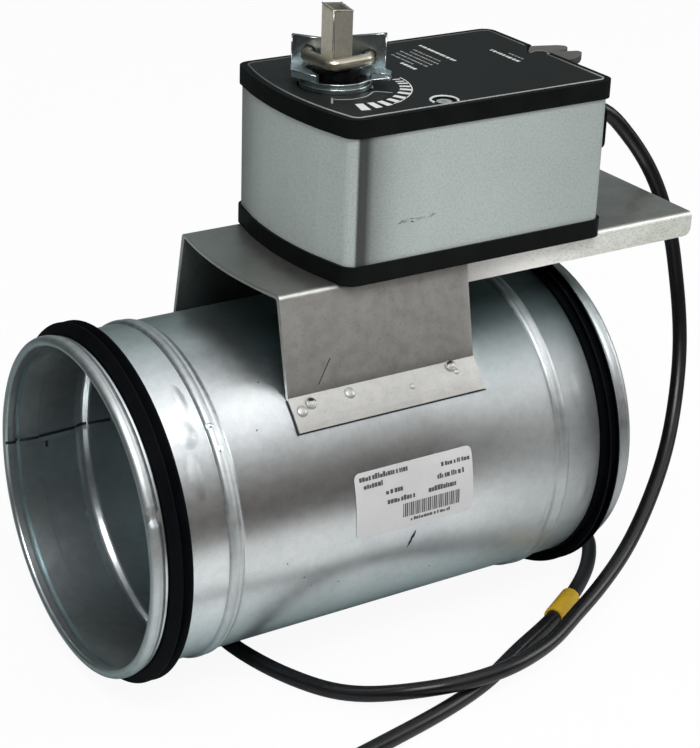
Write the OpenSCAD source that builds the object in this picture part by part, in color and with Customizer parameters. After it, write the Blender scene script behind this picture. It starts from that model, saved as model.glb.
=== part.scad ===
// Motorized round duct damper.
// X runs along the duct from inlet to outlet, Z up along the blade shaft to the actuator.
// The origin is on the duct axis, where the inlet spigot's rounded nose becomes cylindrical.

/* [Duct] */
// Overall length of the duct body
duct_l = 206; // [196:1:230]
// Outer radius of the duct body
duct_r = 62; // [60:0.5:66]
// Sheet thickness of the duct
duct_wall = 0.6; // [0.5:0.05:0.9]
// Extra radius of the cylindrical spigot over the duct body
spigot_rise = 0.3; // [0.1:0.05:0.4]
// Radial thickness of the curled hem at each end
hem_t = 2.8; // [2:0.1:3.4]
// Axial width of the curled hem
hem_w = 4.6; // [4:0.1:5.4]
// Rounding of the hem's outer nose
hem_nose = 1.2; // [0.8:0.1:1.4]
// Distance from the duct's middle to the blade shaft
shaft_shift = 3.2; // [0:0.1:4]
// Distance of each stiffening bead from its end
bead_at = 33; // [28:0.5:36]
// Half of a bead's axial width
bead_hw = 3.4; // [2.5:0.1:4.5]
// Height of a bead over the body
bead_h = 1; // [0.6:0.1:1.6]

/* [Seals] */
// Distance of the seal groove from the end face
groove_at = 6.4; // [6:0.1:7]
// Axial width of the seal groove
groove_w = 8; // [7:0.1:9]
// Depth of the seal groove below the duct body
groove_depth = 0.8; // [0.5:0.05:1.2]
// Height of the seal's lips over the duct body
lip_h = 4.6; // [3:0.1:5]
// Thickness of a seal lip at its root
lip_t = 1.1; // [0.8:0.05:1.4]
// Thickness of the seal's base band
seal_base_t = 1.6; // [1.2:0.1:2]

/* [Bracket] */
// Sheet thickness of the bracket
bracket_t = 1.5; // [1:0.1:2]
// Height of the bracket's top face over the duct axis
plate_z = 82.9; // [80:0.1:88]
// Half of the bracket's width
plate_hw = 35.3; // [32:0.1:37]
// Half of the length of the bracket's legs
leg_hl = 39.6; // [37:0.1:42]
// Length from the duct's middle to the arm's free end
arm_l = 147; // [142:0.5:150]
// Bow of the bracket's left edge
plate_bow = 3.5; // [1:0.1:4]
// Height of the arm's turned-down lips
arm_lip = 9.5; // [7:0.1:11]
// Angle from the top at which a leg meets the duct
flange_from = 42.2; // [41:0.1:43]
// Angle from the top at which a foot flange ends
flange_to = 53.9; // [52:0.1:56]

/* [Actuator case] */
// Half of the actuator's width
case_hw = 40; // [39:0.1:41]
// Distance from the shaft to the left end of the case
case_left = 23.2; // [22.8:0.1:25]
// Distance from the shaft to the right end of the case
case_right = 95.8; // [95.3:0.1:98]
// Bow of the case's left end
case_bow = 5.6; // [3:0.1:7]
// Height of the lower tray
tray_h = 7; // [6:0.1:8]
// Height of the metal sleeve
sleeve_h = 46.8; // [46.6:0.1:50]
// Height of the top cover's rim
cover_h = 6.8; // [6:0.1:8]
// Wall of the metal sleeve
sleeve_t = 1.2; // [0.8:0.1:1.5]
// Wall of the plastic tray and cover
shell_t = 2; // [1.6:0.1:2.4]
// Step of the sleeve behind the tray's edge
sleeve_step = 0.9; // [0.5:0.1:1.2]
// Step of the sleeve's right end behind the tray's edge
sleeve_right_step = 1.2; // [0.8:0.1:2]

/* [Shaft and clamp] */
// Side of the square blade shaft
shaft_side = 8; // [8:0.1:9]
// Height of the shaft's top end over the duct axis
shaft_top = 171.8; // [168:0.1:176]
// Radius of the clamp's bolt rod
rod_r = 2.2; // [2:0.05:2.5]
// Half of the spacing of the clamp bolt's legs
rod_gap = 11; // [10.8:0.1:12]
// Half of the width of the clamp's upright plate
jaw_hw = 17; // [16.5:0.1:18]
// Height of the clamp's upright plate
jaw_h = 15; // [14:0.1:17]

/* [Blade] */
// Gap between the blade's seal and the duct
blade_gap = 0.4; // [0.3:0.05:0.8]
// Thickness of each blade sheet
blade_t = 1; // [0.8:0.1:1.2]
// Thickness of the blade's rubber seal
blade_seal_t = 2; // [1.5:0.1:2.5]
// Depth to which the sheets grip the seal
seal_grip = 6; // [4:0.5:9]

/* [Gears] */
// Tooth module of the output stage
output_module = 1; // [0.95:0.01:1.04]
// Teeth on a full circle of the output sector
output_teeth = 60; // [60:1:62]
// Teeth of each small gear
pinion_teeth = 12; // [12:1:13]
// Teeth of each large intermediate gear
wheel_teeth = 40; // [39:1:40]
// Tooth module of the middle stage
middle_module = 0.8; // [0.75:0.01:0.82]
// Tooth module of the motor stage
motor_module = 0.6; // [0.55:0.01:0.62]

/* [Cable] */
// Radius of the cable's sheath
cable_r = 3; // [2.6:0.05:3.1]

/* [Hidden] */

overrun = 1;
seat = 0.1;
clear = 0.3;
run = 0.05;
smooth = 96;

groove_slope = 0.6;
spigot_r = duct_r + spigot_rise;
hem_inner_r = spigot_r - hem_t;
groove_r = duct_r - groove_depth;
duct_mid_x = duct_l / 2 - hem_nose;
shaft_x = duct_mid_x + shaft_shift;
inlet_x = -hem_nose;
outlet_x = duct_l - hem_nose;
duct_inner_r = duct_r - duct_wall;

function unit(v) = v / norm(v);
function arc(c, r, from, to, n) =
    [for (i = [0:n]) c + r * [cos(from + (to - from) * i / n), sin(from + (to - from) * i / n)]];
function rounded_corner(a, b, c, r, n) = let(
    u = unit(a - b),
    v = unit(c - b),
    half = acos(u * v) / 2,
    centre = b + unit(u + v) * r / sin(half),
    p = b + u * r / tan(half),
    q = b + v * r / tan(half),
    from = atan2(p.y - centre.y, p.x - centre.x),
    turn = (atan2(q.y - centre.y, q.x - centre.x) - from + 540) % 360 - 180)
    arc(centre, r, from, from + turn, n);
function rounded(pts, radii, n = 6) = [for (i = [0:len(pts) - 1])
    each (radii[i] > 0
        ? rounded_corner(pts[(i + len(pts) - 1) % len(pts)], pts[i], pts[(i + 1) % len(pts)],
            radii[i], n)
        : [pts[i]])];
function polar(r, a) = r * [cos(a), sin(a)];
function flipped(pts) = [for (i = [len(pts) - 1:-1:0]) pts[i]];

module along_x(x = 0) translate([x, 0, 0]) rotate([0, 90, 0]) children();
module disc(z, r, h) translate([0, 0, z]) cylinder(h = h, r = r, $fn = smooth);
module ring(z, outer, inner, h) translate([0, 0, z]) difference() {
    cylinder(h = h, r = outer, $fn = smooth);
    translate([0, 0, -overrun]) cylinder(h = h + 2 * overrun, r = inner, $fn = smooth);
}
module at_shaft() translate([shaft_x, 0, 0]) children();
module both_sides() {
    children();
    mirror([0, 1, 0]) children();
}

// Duct body: one rolled sheet with curled hems, seal grooves and beads

bush_r = 9;
bush_hole_r = bush_r + seat;
bead_steps = 8;
function bead_points(lift) = [for (i = [0:bead_steps]) let(a = -180 + 360 * i / bead_steps)
    [duct_r + lift + bead_h * (1 + cos(a)) / 2, bead_at + bead_hw * a / 180]];
function end_outer() = concat(
    arc([spigot_r - hem_nose, hem_nose], hem_nose, -90, 0, 5),
    [[spigot_r, groove_at - groove_slope], [groove_r, groove_at],
        [groove_r, groove_at + groove_w], [duct_r, groove_at + groove_w + groove_slope]],
    bead_points(0));
function end_inner() = concat(
    flipped(bead_points(-duct_wall)),
    [[duct_inner_r, groove_at + groove_w + groove_slope],
        [groove_r - duct_wall, groove_at + groove_w], [groove_r - duct_wall, groove_at],
        [spigot_r - duct_wall, groove_at - groove_slope], [spigot_r - duct_wall, hem_w]],
    arc([hem_inner_r + hem_nose, hem_w - hem_nose], hem_nose, 90, 180, 4),
    arc([hem_inner_r + hem_nose, hem_nose], hem_nose, 180, 270, 4));
function mirrored_end(pts) = [for (p = flipped(pts)) [p.x, duct_l - p.y]];

module duct_tube() color([0.72, 0.74, 0.75]) difference() {
    along_x(inlet_x) rotate_extrude($fn = smooth)
        polygon(concat(end_outer(), mirrored_end(end_outer()), mirrored_end(end_inner()),
            end_inner()));
    at_shaft() disc(-duct_r - overrun, bush_hole_r, 2 * (duct_r + overrun));
}

// Two-lipped rubber seal that lies in the groove, its lips leaning back from the end

seal_lips = 2;
lip_lean = 2.4;
lip_tip_t = lip_t / 2;
seal_w = groove_w - 2 * seat;
lip_pitch = seal_w / seal_lips;
module seal() color([0.06, 0.06, 0.07]) rotate_extrude($fn = smooth) let(
    low = groove_r + seat,
    base = low + seal_base_t,
    top = duct_r + lip_h,
    lips = [for (i = [0:seal_lips - 1]) let(s = i * lip_pitch)
        each [[base, s], [top, s + lip_lean], [top, s + lip_lean + lip_tip_t], [base, s + lip_t]]])
    polygon(concat([[low, 0]], lips, [[base, seal_w], [low, seal_w]]));
module inlet_seal() along_x(inlet_x + groove_at + seat) seal();
module outlet_seal() translate([outlet_x - groove_at - seat, 0, 0]) mirror([1, 0, 0])
    along_x() seal();

// Bushes in the duct wall, with saddle-shaped flanges

bush_flange_r = 12;
bush_flange_h = 4.6;
bush_reach = 1.2;
journal_r = 6.6;
module saddle(from, to) intersection() {
    children();
    along_x(inlet_x) difference() {
        cylinder(h = duct_l, r = to, $fn = smooth);
        translate([0, 0, -overrun]) cylinder(h = duct_l + 2 * overrun, r = from, $fn = smooth);
    }
}
module upper_bush() color([0.2, 0.2, 0.22]) difference() {
    union() {
        saddle(duct_r + seat, duct_r + bush_flange_h) at_shaft() disc(0, bush_flange_r, 2 * duct_r);
        upper_neck();
    }
    at_shaft() disc(0, journal_r + run, 2 * duct_r);
}
module upper_neck() saddle(duct_inner_r - bush_reach, duct_r + bush_flange_h / 2)
    at_shaft() disc(0, bush_r, 2 * duct_r);
cap_floor = 1.6;
cap_h = 3;
module lower_bush() color([0.2, 0.2, 0.22]) mirror([0, 0, 1]) difference() {
    union() {
        saddle(duct_r + seat, duct_r + cap_h) at_shaft() disc(0, bush_flange_r, 2 * duct_r);
        saddle(duct_inner_r - bush_reach, duct_r + cap_h / 2)
            at_shaft() disc(0, bush_r, 2 * duct_r);
    }
    at_shaft() disc(0, journal_r + run, duct_r + cap_h - cap_floor);
}

// Folded sheet bracket: bridge legs on the duct, flat top, long arm with turned-down lips

plate_left = duct_mid_x - leg_hl;
plate_right = duct_mid_x + leg_hl;
arm_end = duct_mid_x + arm_l;
foot_r = duct_r + seat;
fold_r = 2;
bow_steps = 12;
plate_hole_r = 12.5;
leg_top = [plate_hw, plate_z];
leg_foot = polar(foot_r + bracket_t, 90 - flange_from);
leg_dir = unit(leg_foot - leg_top);
leg_in = [leg_dir.y, -leg_dir.x] * bracket_t;
leg_corner_share = 1.2;
foot_steps = 6;
module bracket_leg() translate([plate_left, 0, 0]) rotate([90, 0, 90])
    linear_extrude(2 * leg_hl) polygon(concat(
        [[plate_hw - 2 * fold_r, plate_z]],
        rounded_corner([0, plate_z], leg_top, leg_foot, fold_r, 5),
        arc([0, 0], foot_r + bracket_t, 90 - flange_from, 90 - flange_to, foot_steps),
        arc([0, 0], foot_r, 90 - flange_to, 90 - flange_from, foot_steps),
        [leg_foot + leg_in],
        rounded_corner(leg_foot + leg_in, leg_top + [leg_in.x * leg_corner_share, -bracket_t],
            [0, plate_z - bracket_t], fold_r - bracket_t / 2, 3),
        [[plate_hw - 2 * fold_r, plate_z - bracket_t]]));
module bracket_plate() translate([0, 0, plate_z - bracket_t]) linear_extrude(bracket_t) let(
    inner = plate_hw - fold_r)
    polygon(concat(
        [for (i = [0:bow_steps]) let(s = 1 - 2 * i / bow_steps)
            [plate_left - plate_bow * (1 - s * s), inner * s]],
        [[arm_end, -inner], [arm_end, inner]]));
lip_z = plate_z - arm_lip;
module arm_side() translate([plate_right - overrun, 0, 0]) rotate([90, 0, 90])
    linear_extrude(arm_end - plate_right + overrun) polygon(concat(
        [[plate_hw - 2 * fold_r, plate_z]],
        rounded_corner([0, plate_z], leg_top, [plate_hw, lip_z], fold_r, 5),
        [[plate_hw, lip_z], [plate_hw - bracket_t, lip_z],
            [plate_hw - bracket_t, plate_z - bracket_t],
            [plate_hw - 2 * fold_r, plate_z - bracket_t]]));
module arm_end_round() translate([arm_end - arm_lip / 3, 0, 0]) rotate([90, 0, 0])
    translate([0, 0, -plate_hw - overrun]) linear_extrude(2 * (plate_hw + overrun))
    polygon(concat([[arm_lip, lip_z - overrun], [0, lip_z - overrun], [0, lip_z]],
        arc([0, lip_z + arm_lip / 3], arm_lip / 3, -90, 0, 5), [[arm_lip, plate_z - bracket_t]]));
mount_x_shares = [0.16, 0.86];
mount_y_share = 0.62;
module at_mounting_screws() for (x = mount_x_shares, y = [-1, 1])
    translate([shaft_x - case_left + x * (case_left + case_right), y * mount_y_share * case_hw, 0])
        children();
rivet_x_shares = [-0.82, 0.78];
rivet_angle = (flange_from + flange_to) / 2;
rivet_r = 2.3;
rivet_hole_r = rivet_r - seat;
module at_rivets() for (x = rivet_x_shares, a = [-1, 1])
    translate([duct_mid_x + x * leg_hl, 0, 0]) rotate([-a * rivet_angle, 0, 0]) children();
mount_hole_r = 2.2;
module bracket() color([0.62, 0.61, 0.58]) difference() {
    union() {
        bracket_plate();
        both_sides() {
            bracket_leg();
            arm_side();
        }
    }
    arm_end_round();
    at_shaft() disc(plate_z - bracket_t - overrun, plate_hole_r, bracket_t + 2 * overrun);
    at_mounting_screws() disc(plate_z - bracket_t - overrun, mount_hole_r,
        bracket_t + 2 * overrun);
}

rivet_head_h = 1.1;
module bracket_rivets() color([0.75, 0.76, 0.77]) at_rivets()
    disc(foot_r + bracket_t + seat, rivet_r, rivet_head_h);

screw_head_r = 3.6;
screw_head_h = 2.4;
mount_shank_r = 1.9;
module mounting_screws() color([0.7, 0.7, 0.68]) at_mounting_screws() {
    disc(plate_z - bracket_t - screw_head_h, screw_head_r, screw_head_h);
    disc(plate_z - bracket_t - overrun, mount_shank_r, bracket_t + overrun + boss_h - shell_t);
}

// Actuator case

tray_z = plate_z;
sleeve_z = tray_z + tray_h;
cover_z = sleeve_z + sleeve_h;
case_top = cover_z + cover_h;
case_x0 = shaft_x - case_left;
case_x1 = shaft_x + case_right;
hub_r = 8.5;
hub_bore_r = shaft_side / sqrt(2) + clear;
hub_seat_t = 3;
hub_seat_r = hub_r + hub_seat_t;
hub_seat_h = tray_h;
hub_rise = 6.5;
hub_flange_r = 11;
hub_top = case_top + hub_rise;
hub_bottom = tray_z + clear;
case_left_round = 6;
case_right_round = 5;
end_steps = 14;
boss_h = tray_h;
boss_r = 4.2;
end_round_x_share = 0.6;
end_round_y_share = 0.775;
function case_outline(inset, right) = let(
    hw = case_hw - inset,
    x0 = case_x0 + inset,
    x1 = case_x1 - right)
    concat(
        rounded_corner([x0 + case_bow, -hw], [x1, -hw], [x1, hw], case_right_round - inset / 2, 5),
        rounded_corner([x1, -hw], [x1, hw], [x0, hw], case_right_round - inset / 2, 5),
        rounded_corner([x1, hw], [x0 + case_bow, hw],
            [x0 + case_bow * end_round_x_share, hw * end_round_y_share], case_left_round - inset, 6),
        [for (i = [3:end_steps - 3]) let(s = 1 - 2 * i / end_steps)
            [x0 + case_bow * s * s, hw * s]],
        rounded_corner([x0 + case_bow * end_round_x_share, -hw * end_round_y_share],
            [x0 + case_bow, -hw], [x1, -hw], case_left_round - inset, 6));
module case_solid(z, h, inset, right) translate([0, 0, z]) linear_extrude(h)
    polygon(case_outline(inset, right));
lip_ring_h = 2.4;
sleeve_inset = sleeve_step + sleeve_t;
lip_inset = sleeve_inset + clear / 2;
lip_right = sleeve_right_step + sleeve_t + clear / 2;
inner_inset = lip_inset + shell_t / 2;
inner_right = lip_right + shell_t / 2;
module shell_half(z, h, floor_z, floor_h, lip_z0) difference() {
    union() {
        case_solid(z, h, 0, 0);
        case_solid(lip_z0, lip_ring_h, lip_inset, lip_right);
    }
    difference() {
        case_solid(min(z, lip_z0) - overrun, h + lip_ring_h + 2 * overrun, inner_inset,
            inner_right);
        translate([0, -case_hw, floor_z]) cube([case_x1, 2 * case_hw, floor_h]);
    }
}
post_r = 3.5;
plate_post_r = 3;
board_post_r = 2.5;
screw_hole_r = 1.3;
cover_screw_x = 24.3;
cover_screw_y = 33;
module at_cover_screws() for (y = [-1, 1])
    translate([shaft_x + cover_screw_x, y * cover_screw_y, 0]) children();
plate_post_x_shares = [0.33, 0.81];
plate_post_y = 30;
module at_plate_posts() for (x = plate_post_x_shares, y = [-1, 1])
    translate([shaft_x + x * case_right, y * plate_post_y, 0]) children();
board_post_y = 24;
board_post_inset = 10;
board_post_x = case_right - board_post_inset;
module at_board_posts() for (y = [-1, 1])
    translate([shaft_x + board_post_x, y * board_post_y, 0]) children();
module post(r, z) disc(tray_z + shell_t, r, z - tray_z - shell_t);
module lower_tray() color([0.07, 0.07, 0.08]) difference() {
    union() {
        shell_half(tray_z, tray_h, tray_z, shell_t, sleeve_z);
        at_cover_screws() post(post_r, case_top - shell_t);
        at_plate_posts() post(plate_post_r, gear_plate_z);
        at_board_posts() post(board_post_r, board_z);
        at_mounting_screws() disc(tray_z, boss_r, boss_h);
        at_shaft() disc(tray_z, hub_seat_r, hub_seat_h);
        at_axle(axle_a) disc(tray_z, axle_boss_r, axle_boss_h);
        at_axle(axle_b) disc(tray_z, axle_boss_r, axle_boss_h);
    }
    at_shaft() disc(tray_z - overrun, hub_r + run, tray_h + overrun * 2);
    at_mounting_screws() disc(tray_z - overrun, mount_shank_r + seat, boss_h - shell_t + overrun * 2);
    at_cover_screws() disc(case_top - shell_t - cover_shank_l, screw_hole_r + seat,
        cover_shank_l + overrun);
    at_plate_posts() disc(gear_plate_z - plate_screw_l, plate_screw_r + seat,
        plate_screw_l + overrun);
    at_axle(axle_a) disc(tray_z + shell_t, axle_r + seat, axle_boss_h);
    at_axle(axle_b) disc(tray_z + shell_t, axle_r + seat, axle_boss_h);
}

gland_y = 4;
gland_z = 119.5;
gland_hole_r = 6;
module housing_sleeve() color([0.66, 0.69, 0.68]) difference() {
    case_solid(sleeve_z, sleeve_h, sleeve_step, sleeve_right_step);
    case_solid(sleeve_z - overrun, sleeve_h + 2 * overrun, sleeve_inset,
        sleeve_right_step + sleeve_t);
    translate([case_x1 - sleeve_right_step - 2 * sleeve_t, gland_y, gland_z]) rotate([0, 90, 0])
        cylinder(h = 3 * sleeve_t, r = gland_hole_r, $fn = smooth);
}

label_t = 0.4;
label_inset = 2.2;
pocket_r = 13.8;
cover_head_r = 2.8;
cover_head_h = 1.4;
cover_shank_r = 1.3;
cover_shank_l = 10;
screw_window_r = 5.3;
cross_w = 0.7;
module top_cover() color([0.07, 0.07, 0.08]) difference() {
    union() {
        shell_half(cover_z, cover_h, case_top - shell_t, shell_t, cover_z - lip_ring_h);
        translate([crank_x - crank_seat_w, -crank_slot_y - shell_t, case_top - crank_seat_h])
            cube([crank_inset + crank_seat_w - inner_right, 2 * (crank_slot_y + shell_t),
                crank_seat_h - shell_t / 2]);
    }
    case_solid(case_top - label_t, label_t + overrun, label_inset, label_inset);
    at_shaft() disc(cover_z - overrun, pocket_r, cover_h + 2 * overrun);
    at_cover_screws() {
        disc(case_top - cover_head_h - label_t, cover_head_r + seat, cover_head_h + overrun);
        disc(cover_z, cover_shank_r + seat, cover_h);
    }
    crank_notch();
}
module crank_notch() translate([crank_x, 0, case_top - crank_sink])
    linear_extrude(crank_sink + overrun) polygon(notch_points);
module label_plate() color([0.12, 0.12, 0.13]) difference() {
    case_solid(case_top - label_t, label_t, label_inset + seat, label_inset + seat);
    at_shaft() disc(cover_z, pocket_r, 2 * cover_h);
    at_cover_screws() disc(cover_z, screw_window_r, 2 * cover_h);
    crank_notch();
}
module cover_screws() color([0.75, 0.75, 0.72]) at_cover_screws() difference() {
    union() {
        disc(case_top - cover_head_h - label_t, cover_head_r, cover_head_h);
        disc(case_top - cover_shank_l, cover_shank_r, cover_shank_l - cover_head_h);
    }
    for (a = [0, 90]) rotate(a)
        translate([-cover_head_r / 2, -cross_w / 2, case_top - label_t - cross_w])
            cube([cover_head_r, cross_w, 2 * cross_w]);
}

// Gear train: sector on the hub, two reduction gears and the motor pinion

pressure = 20;
tooth_share = 0.43;
tip_share = 0.85;
root_share = 1.15;
function involute(base, t) = base * [cos(t) + t * PI / 180 * sin(t), sin(t) - t * PI / 180 * cos(t)];
function roll(base, r) = r <= base ? 0 : sqrt(r * r / base / base - 1) * 180 / PI;
function flank_angle(base, r) = let(p = involute(base, roll(base, r))) atan2(p.y, p.x);
function tooth_points(m, z, i) = let(
    pr = m * z / 2,
    base = pr * cos(pressure),
    tip = pr + tip_share * m,
    root = pr - root_share * m,
    half = tooth_share * 180 / z + flank_angle(base, pr),
    mid = (max(base, root) + tip) / 2,
    low = max(base, root + m / 10),
    a = 360 * i / z)
    [polar(root, a - half), polar(low, a - half + flank_angle(base, low)),
        polar(mid, a - half + flank_angle(base, mid)), polar(tip, a - half + flank_angle(base, tip)),
        polar(tip, a + half - flank_angle(base, tip)), polar(mid, a + half - flank_angle(base, mid)),
        polar(low, a + half - flank_angle(base, low)), polar(root, a + half)];
module gear_shape(m, z) polygon([for (i = [0:z - 1]) each tooth_points(m, z, i)]);
function pitch_r(m, z) = m * z / 2;

axle_r = 1.5;
axle_boss_r = 4;
gear_floor = tray_z + tray_h;
output_h = 6;
wheel_h = 4;
level_gap = 1.4;
output_z = gear_floor + clear;
wheel_a_z = output_z + output_h + level_gap;
wheel_b_z = wheel_a_z + wheel_h + level_gap;
gear_plate_z = wheel_b_z + wheel_h + level_gap;
gear_plate_t = 1.5;
axle_boss_h = output_z - clear - tray_z - level_gap / 2;
centre_slack = 0.12;
reach_a = pitch_r(output_module, output_teeth + pinion_teeth) + centre_slack;
reach_b = pitch_r(middle_module, wheel_teeth + pinion_teeth) + centre_slack;
reach_m = pitch_r(motor_module, wheel_teeth + pinion_teeth) + centre_slack;
swing_b = 40;
swing_m = -60;
axle_a = [shaft_x + reach_a, 0];
axle_b = axle_a + polar(reach_b, swing_b);
axle_m = axle_b + polar(reach_m, swing_m);
module at_axle(p) translate([p.x, p.y, 0]) children();
function odd_half(z) = z % 2 == 0 ? 180 / z : 0;

gear_rim = 4;
sector_half = 54;
sector_lead = 45;
module output_gear() color([0.78, 0.74, 0.66]) at_shaft() translate([0, 0, output_z]) difference() {
    intersection() {
        linear_extrude(output_h) gear_shape(output_module, output_teeth);
        union() {
            cylinder(h = output_h, r = hub_r + gear_rim, $fn = smooth);
            linear_extrude(output_h) polygon([[0, 0],
                polar(2 * reach_a, -sector_lead - sector_half), polar(3 * reach_a, -sector_lead),
                polar(2 * reach_a, -sector_lead + sector_half)]);
        }
    }
    translate([0, 0, -overrun]) cylinder(h = output_h + 2 * overrun, r = hub_r, $fn = smooth);
}
module compound_gear(p, wheel_z, wheel_m, pinion_z, pinion_h, pinion_m, mesh_a, mesh_b) at_axle(p)
    difference() {
        union() {
            translate([0, 0, wheel_z]) rotate(mesh_b) linear_extrude(wheel_h)
                gear_shape(wheel_m, wheel_teeth);
            translate([0, 0, pinion_z]) rotate(mesh_a) linear_extrude(pinion_h + overrun)
                gear_shape(pinion_m, pinion_teeth);
        }
        disc(pinion_z - overrun, axle_r + run, gear_plate_z - pinion_z + 2 * overrun);
    }
turn_a = 180 + odd_half(pinion_teeth);
module second_gear() color([0.85, 0.83, 0.78]) compound_gear(axle_a, wheel_a_z, middle_module,
    output_z, output_h + level_gap, output_module, turn_a, swing_b);
turn_b = 180 + swing_b + odd_half(pinion_teeth);
module first_gear() color([0.85, 0.83, 0.78]) compound_gear(axle_b, wheel_b_z, motor_module,
    wheel_a_z, wheel_h + level_gap, middle_module, turn_b, swing_m);
turn_m = 180 + swing_m + odd_half(pinion_teeth);
motor_shaft_r = 1;
motor_shaft_l = 4;
module motor_pinion() color([0.8, 0.68, 0.35]) at_axle(axle_m) {
    translate([0, 0, wheel_b_z]) rotate(turn_m) linear_extrude(wheel_h)
        gear_shape(motor_module, pinion_teeth);
    disc(wheel_b_z + wheel_h, motor_shaft_r,
        gear_plate_z + gear_plate_t + motor_shaft_l - wheel_b_z - wheel_h);
}
module gear_axles() color([0.7, 0.71, 0.72]) for (p = [axle_a, axle_b]) at_axle(p)
    disc(tray_z + shell_t + seat, axle_r, gear_plate_z + gear_plate_t - tray_z - shell_t - seat);
plate_screw_r = 1.2;
plate_screw_l = 7;
plate_head_r = 2.5;
plate_head_h = 1.8;
pilot_r = 3;
gear_plate_lead = 13.5;
gear_plate_margin = 5;
gear_plate_x = [shaft_x + gear_plate_lead,
    shaft_x + case_right * plate_post_x_shares[1] + gear_plate_margin];
gear_plate_hw = plate_post_y + post_r;
module gear_plate() color([0.68, 0.7, 0.71]) difference() {
    translate([0, 0, gear_plate_z]) linear_extrude(gear_plate_t) polygon(rounded(
        [[gear_plate_x[0], -gear_plate_hw], [gear_plate_x[1], -gear_plate_hw],
            [gear_plate_x[1], gear_plate_hw], [gear_plate_x[0], gear_plate_hw]],
        [plate_head_r, plate_head_r, plate_head_r, plate_head_r]));
    at_cover_screws() disc(gear_plate_z - overrun, post_r + clear, gear_plate_t + 2 * overrun);
    at_plate_posts() disc(gear_plate_z - overrun, plate_screw_r + seat,
        gear_plate_t + 2 * overrun);
    for (p = [axle_a, axle_b]) at_axle(p)
        disc(gear_plate_z - overrun, axle_r + seat / 2, gear_plate_t + 2 * overrun);
    at_axle(axle_m) disc(gear_plate_z - overrun, pilot_r, gear_plate_t + 2 * overrun);
    at_shaft() disc(gear_plate_z - overrun, spring_case_r + clear, gear_plate_t + 2 * overrun);
}
module gear_plate_screws() color([0.75, 0.75, 0.72]) at_plate_posts() {
    disc(gear_plate_z + gear_plate_t, plate_head_r, plate_head_h);
    disc(gear_plate_z + gear_plate_t - plate_screw_l, plate_screw_r, plate_screw_l);
}

motor_r = 14;
motor_h = 22;
motor_cap_h = 3;
module motor() color([0.72, 0.73, 0.74]) at_axle(axle_m) difference() {
    union() {
        disc(gear_plate_z + gear_plate_t, motor_r, motor_h);
        disc(gear_plate_z + gear_plate_t + motor_h, motor_r / 2, motor_cap_h);
    }
    disc(gear_plate_z, motor_shaft_r + run, gear_plate_t + motor_shaft_l + clear);
}

board_lift = 8;
board_z = gear_plate_z + board_lift;
board_t = 1.6;
board_hw = 31;
board_w = 15;
board_gap = 1;
board_x1 = shaft_x + case_right - inner_right - board_gap;
board_x = [board_x1 - board_w, board_x1];
module circuit_board() color([0.1, 0.4, 0.2]) difference() {
    translate([board_x[0], -board_hw, board_z])
        cube([board_x[1] - board_x[0], 2 * board_hw, board_t]);
    at_cover_screws() disc(board_z - overrun, post_r + clear, board_t + 2 * overrun);
}
capacitor_r = 4;
capacitor_h = 11;
relay = [9, 18, 8];
terminal = [8, 12, 9];
capacitor_y_shares = [-0.35, -0.05];
capacitor_x_share = 1.6;
relay_y_share = 0.25;
module board_parts() color([0.15, 0.16, 0.2]) translate([board_x[0], 0, board_z + board_t]) {
    for (y = capacitor_y_shares)
        translate([capacitor_r * capacitor_x_share, y * board_hw, 0])
        cylinder(h = capacitor_h, r = capacitor_r, $fn = smooth);
    translate([capacitor_r, board_hw * relay_y_share, 0]) cube(relay);
    translate([capacitor_r, -board_hw + overrun, 0]) cube(terminal);
}

// Return spring: a flat spiral strip in its round case about the hub

spring_case_r = 15.9;
spring_case_t = 0.8;
spring_lift = 3;
spring_z = gear_plate_z + gear_plate_t + spring_lift;
spring_h = 15;
spring_strip_t = 0.4;
spring_turns = 5;
spring_steps = 20;
spring_inner_r = hub_r + clear + spring_strip_t;
spring_outer_r = spring_case_r - spring_case_t - clear;
function spiral_points(shift) = [for (i = [0:spring_turns * spring_steps])
    polar(spring_inner_r + shift + (spring_outer_r - spring_inner_r - spring_strip_t) * i
        / (spring_turns * spring_steps), 360 * i / spring_steps)];
module return_spring() color([0.35, 0.38, 0.42]) at_shaft() translate([0, 0, spring_z + clear])
    linear_extrude(spring_h - 2 * clear)
    polygon(concat(spiral_points(spring_strip_t), flipped(spiral_points(0))));
case_arm_w = 8;
case_foot_reach = 3;
module spring_case() color([0.6, 0.61, 0.62]) difference() {
    union() {
        at_shaft() disc(spring_z - spring_case_t, spring_case_r, spring_h + 2 * spring_case_t);
        translate([shaft_x, -plate_post_y, gear_plate_z + gear_plate_t])
            case_feet();
    }
    at_shaft() disc(spring_z, spring_case_r - spring_case_t, spring_h);
    at_shaft() disc(gear_plate_z, hub_r + clear, spring_z + spring_h + overrun - gear_plate_z);
}
module case_feet() translate([0, plate_post_y - case_arm_w / 2, 0])
    cube([spring_case_r + case_foot_reach, case_arm_w, spring_z - gear_plate_z - gear_plate_t]);

// Hub that the blade shaft passes through, with its collar and the shaft clamp

collar_sink = 0.2;
collar_z = case_top - collar_sink;
collar_h = 3.3;
collar_step = 0.9;
collar_gap = 0.7;
collar_r = pocket_r - collar_gap;
collar_inner_r = hub_flange_r + seat / 2;
module output_hub() color([0.1, 0.1, 0.11]) at_shaft() {
    ring(hub_bottom, hub_r, hub_bore_r, hub_top - hub_bottom);
    ring(collar_z, hub_flange_r, hub_bore_r, collar_h);
}
module hub_collar() color([0.55, 0.57, 0.58]) at_shaft() {
    ring(collar_z, collar_r, collar_inner_r, collar_h / 2);
    ring(collar_z + collar_h / 2, collar_r - collar_step, collar_inner_r, collar_h / 2);
}

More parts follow.
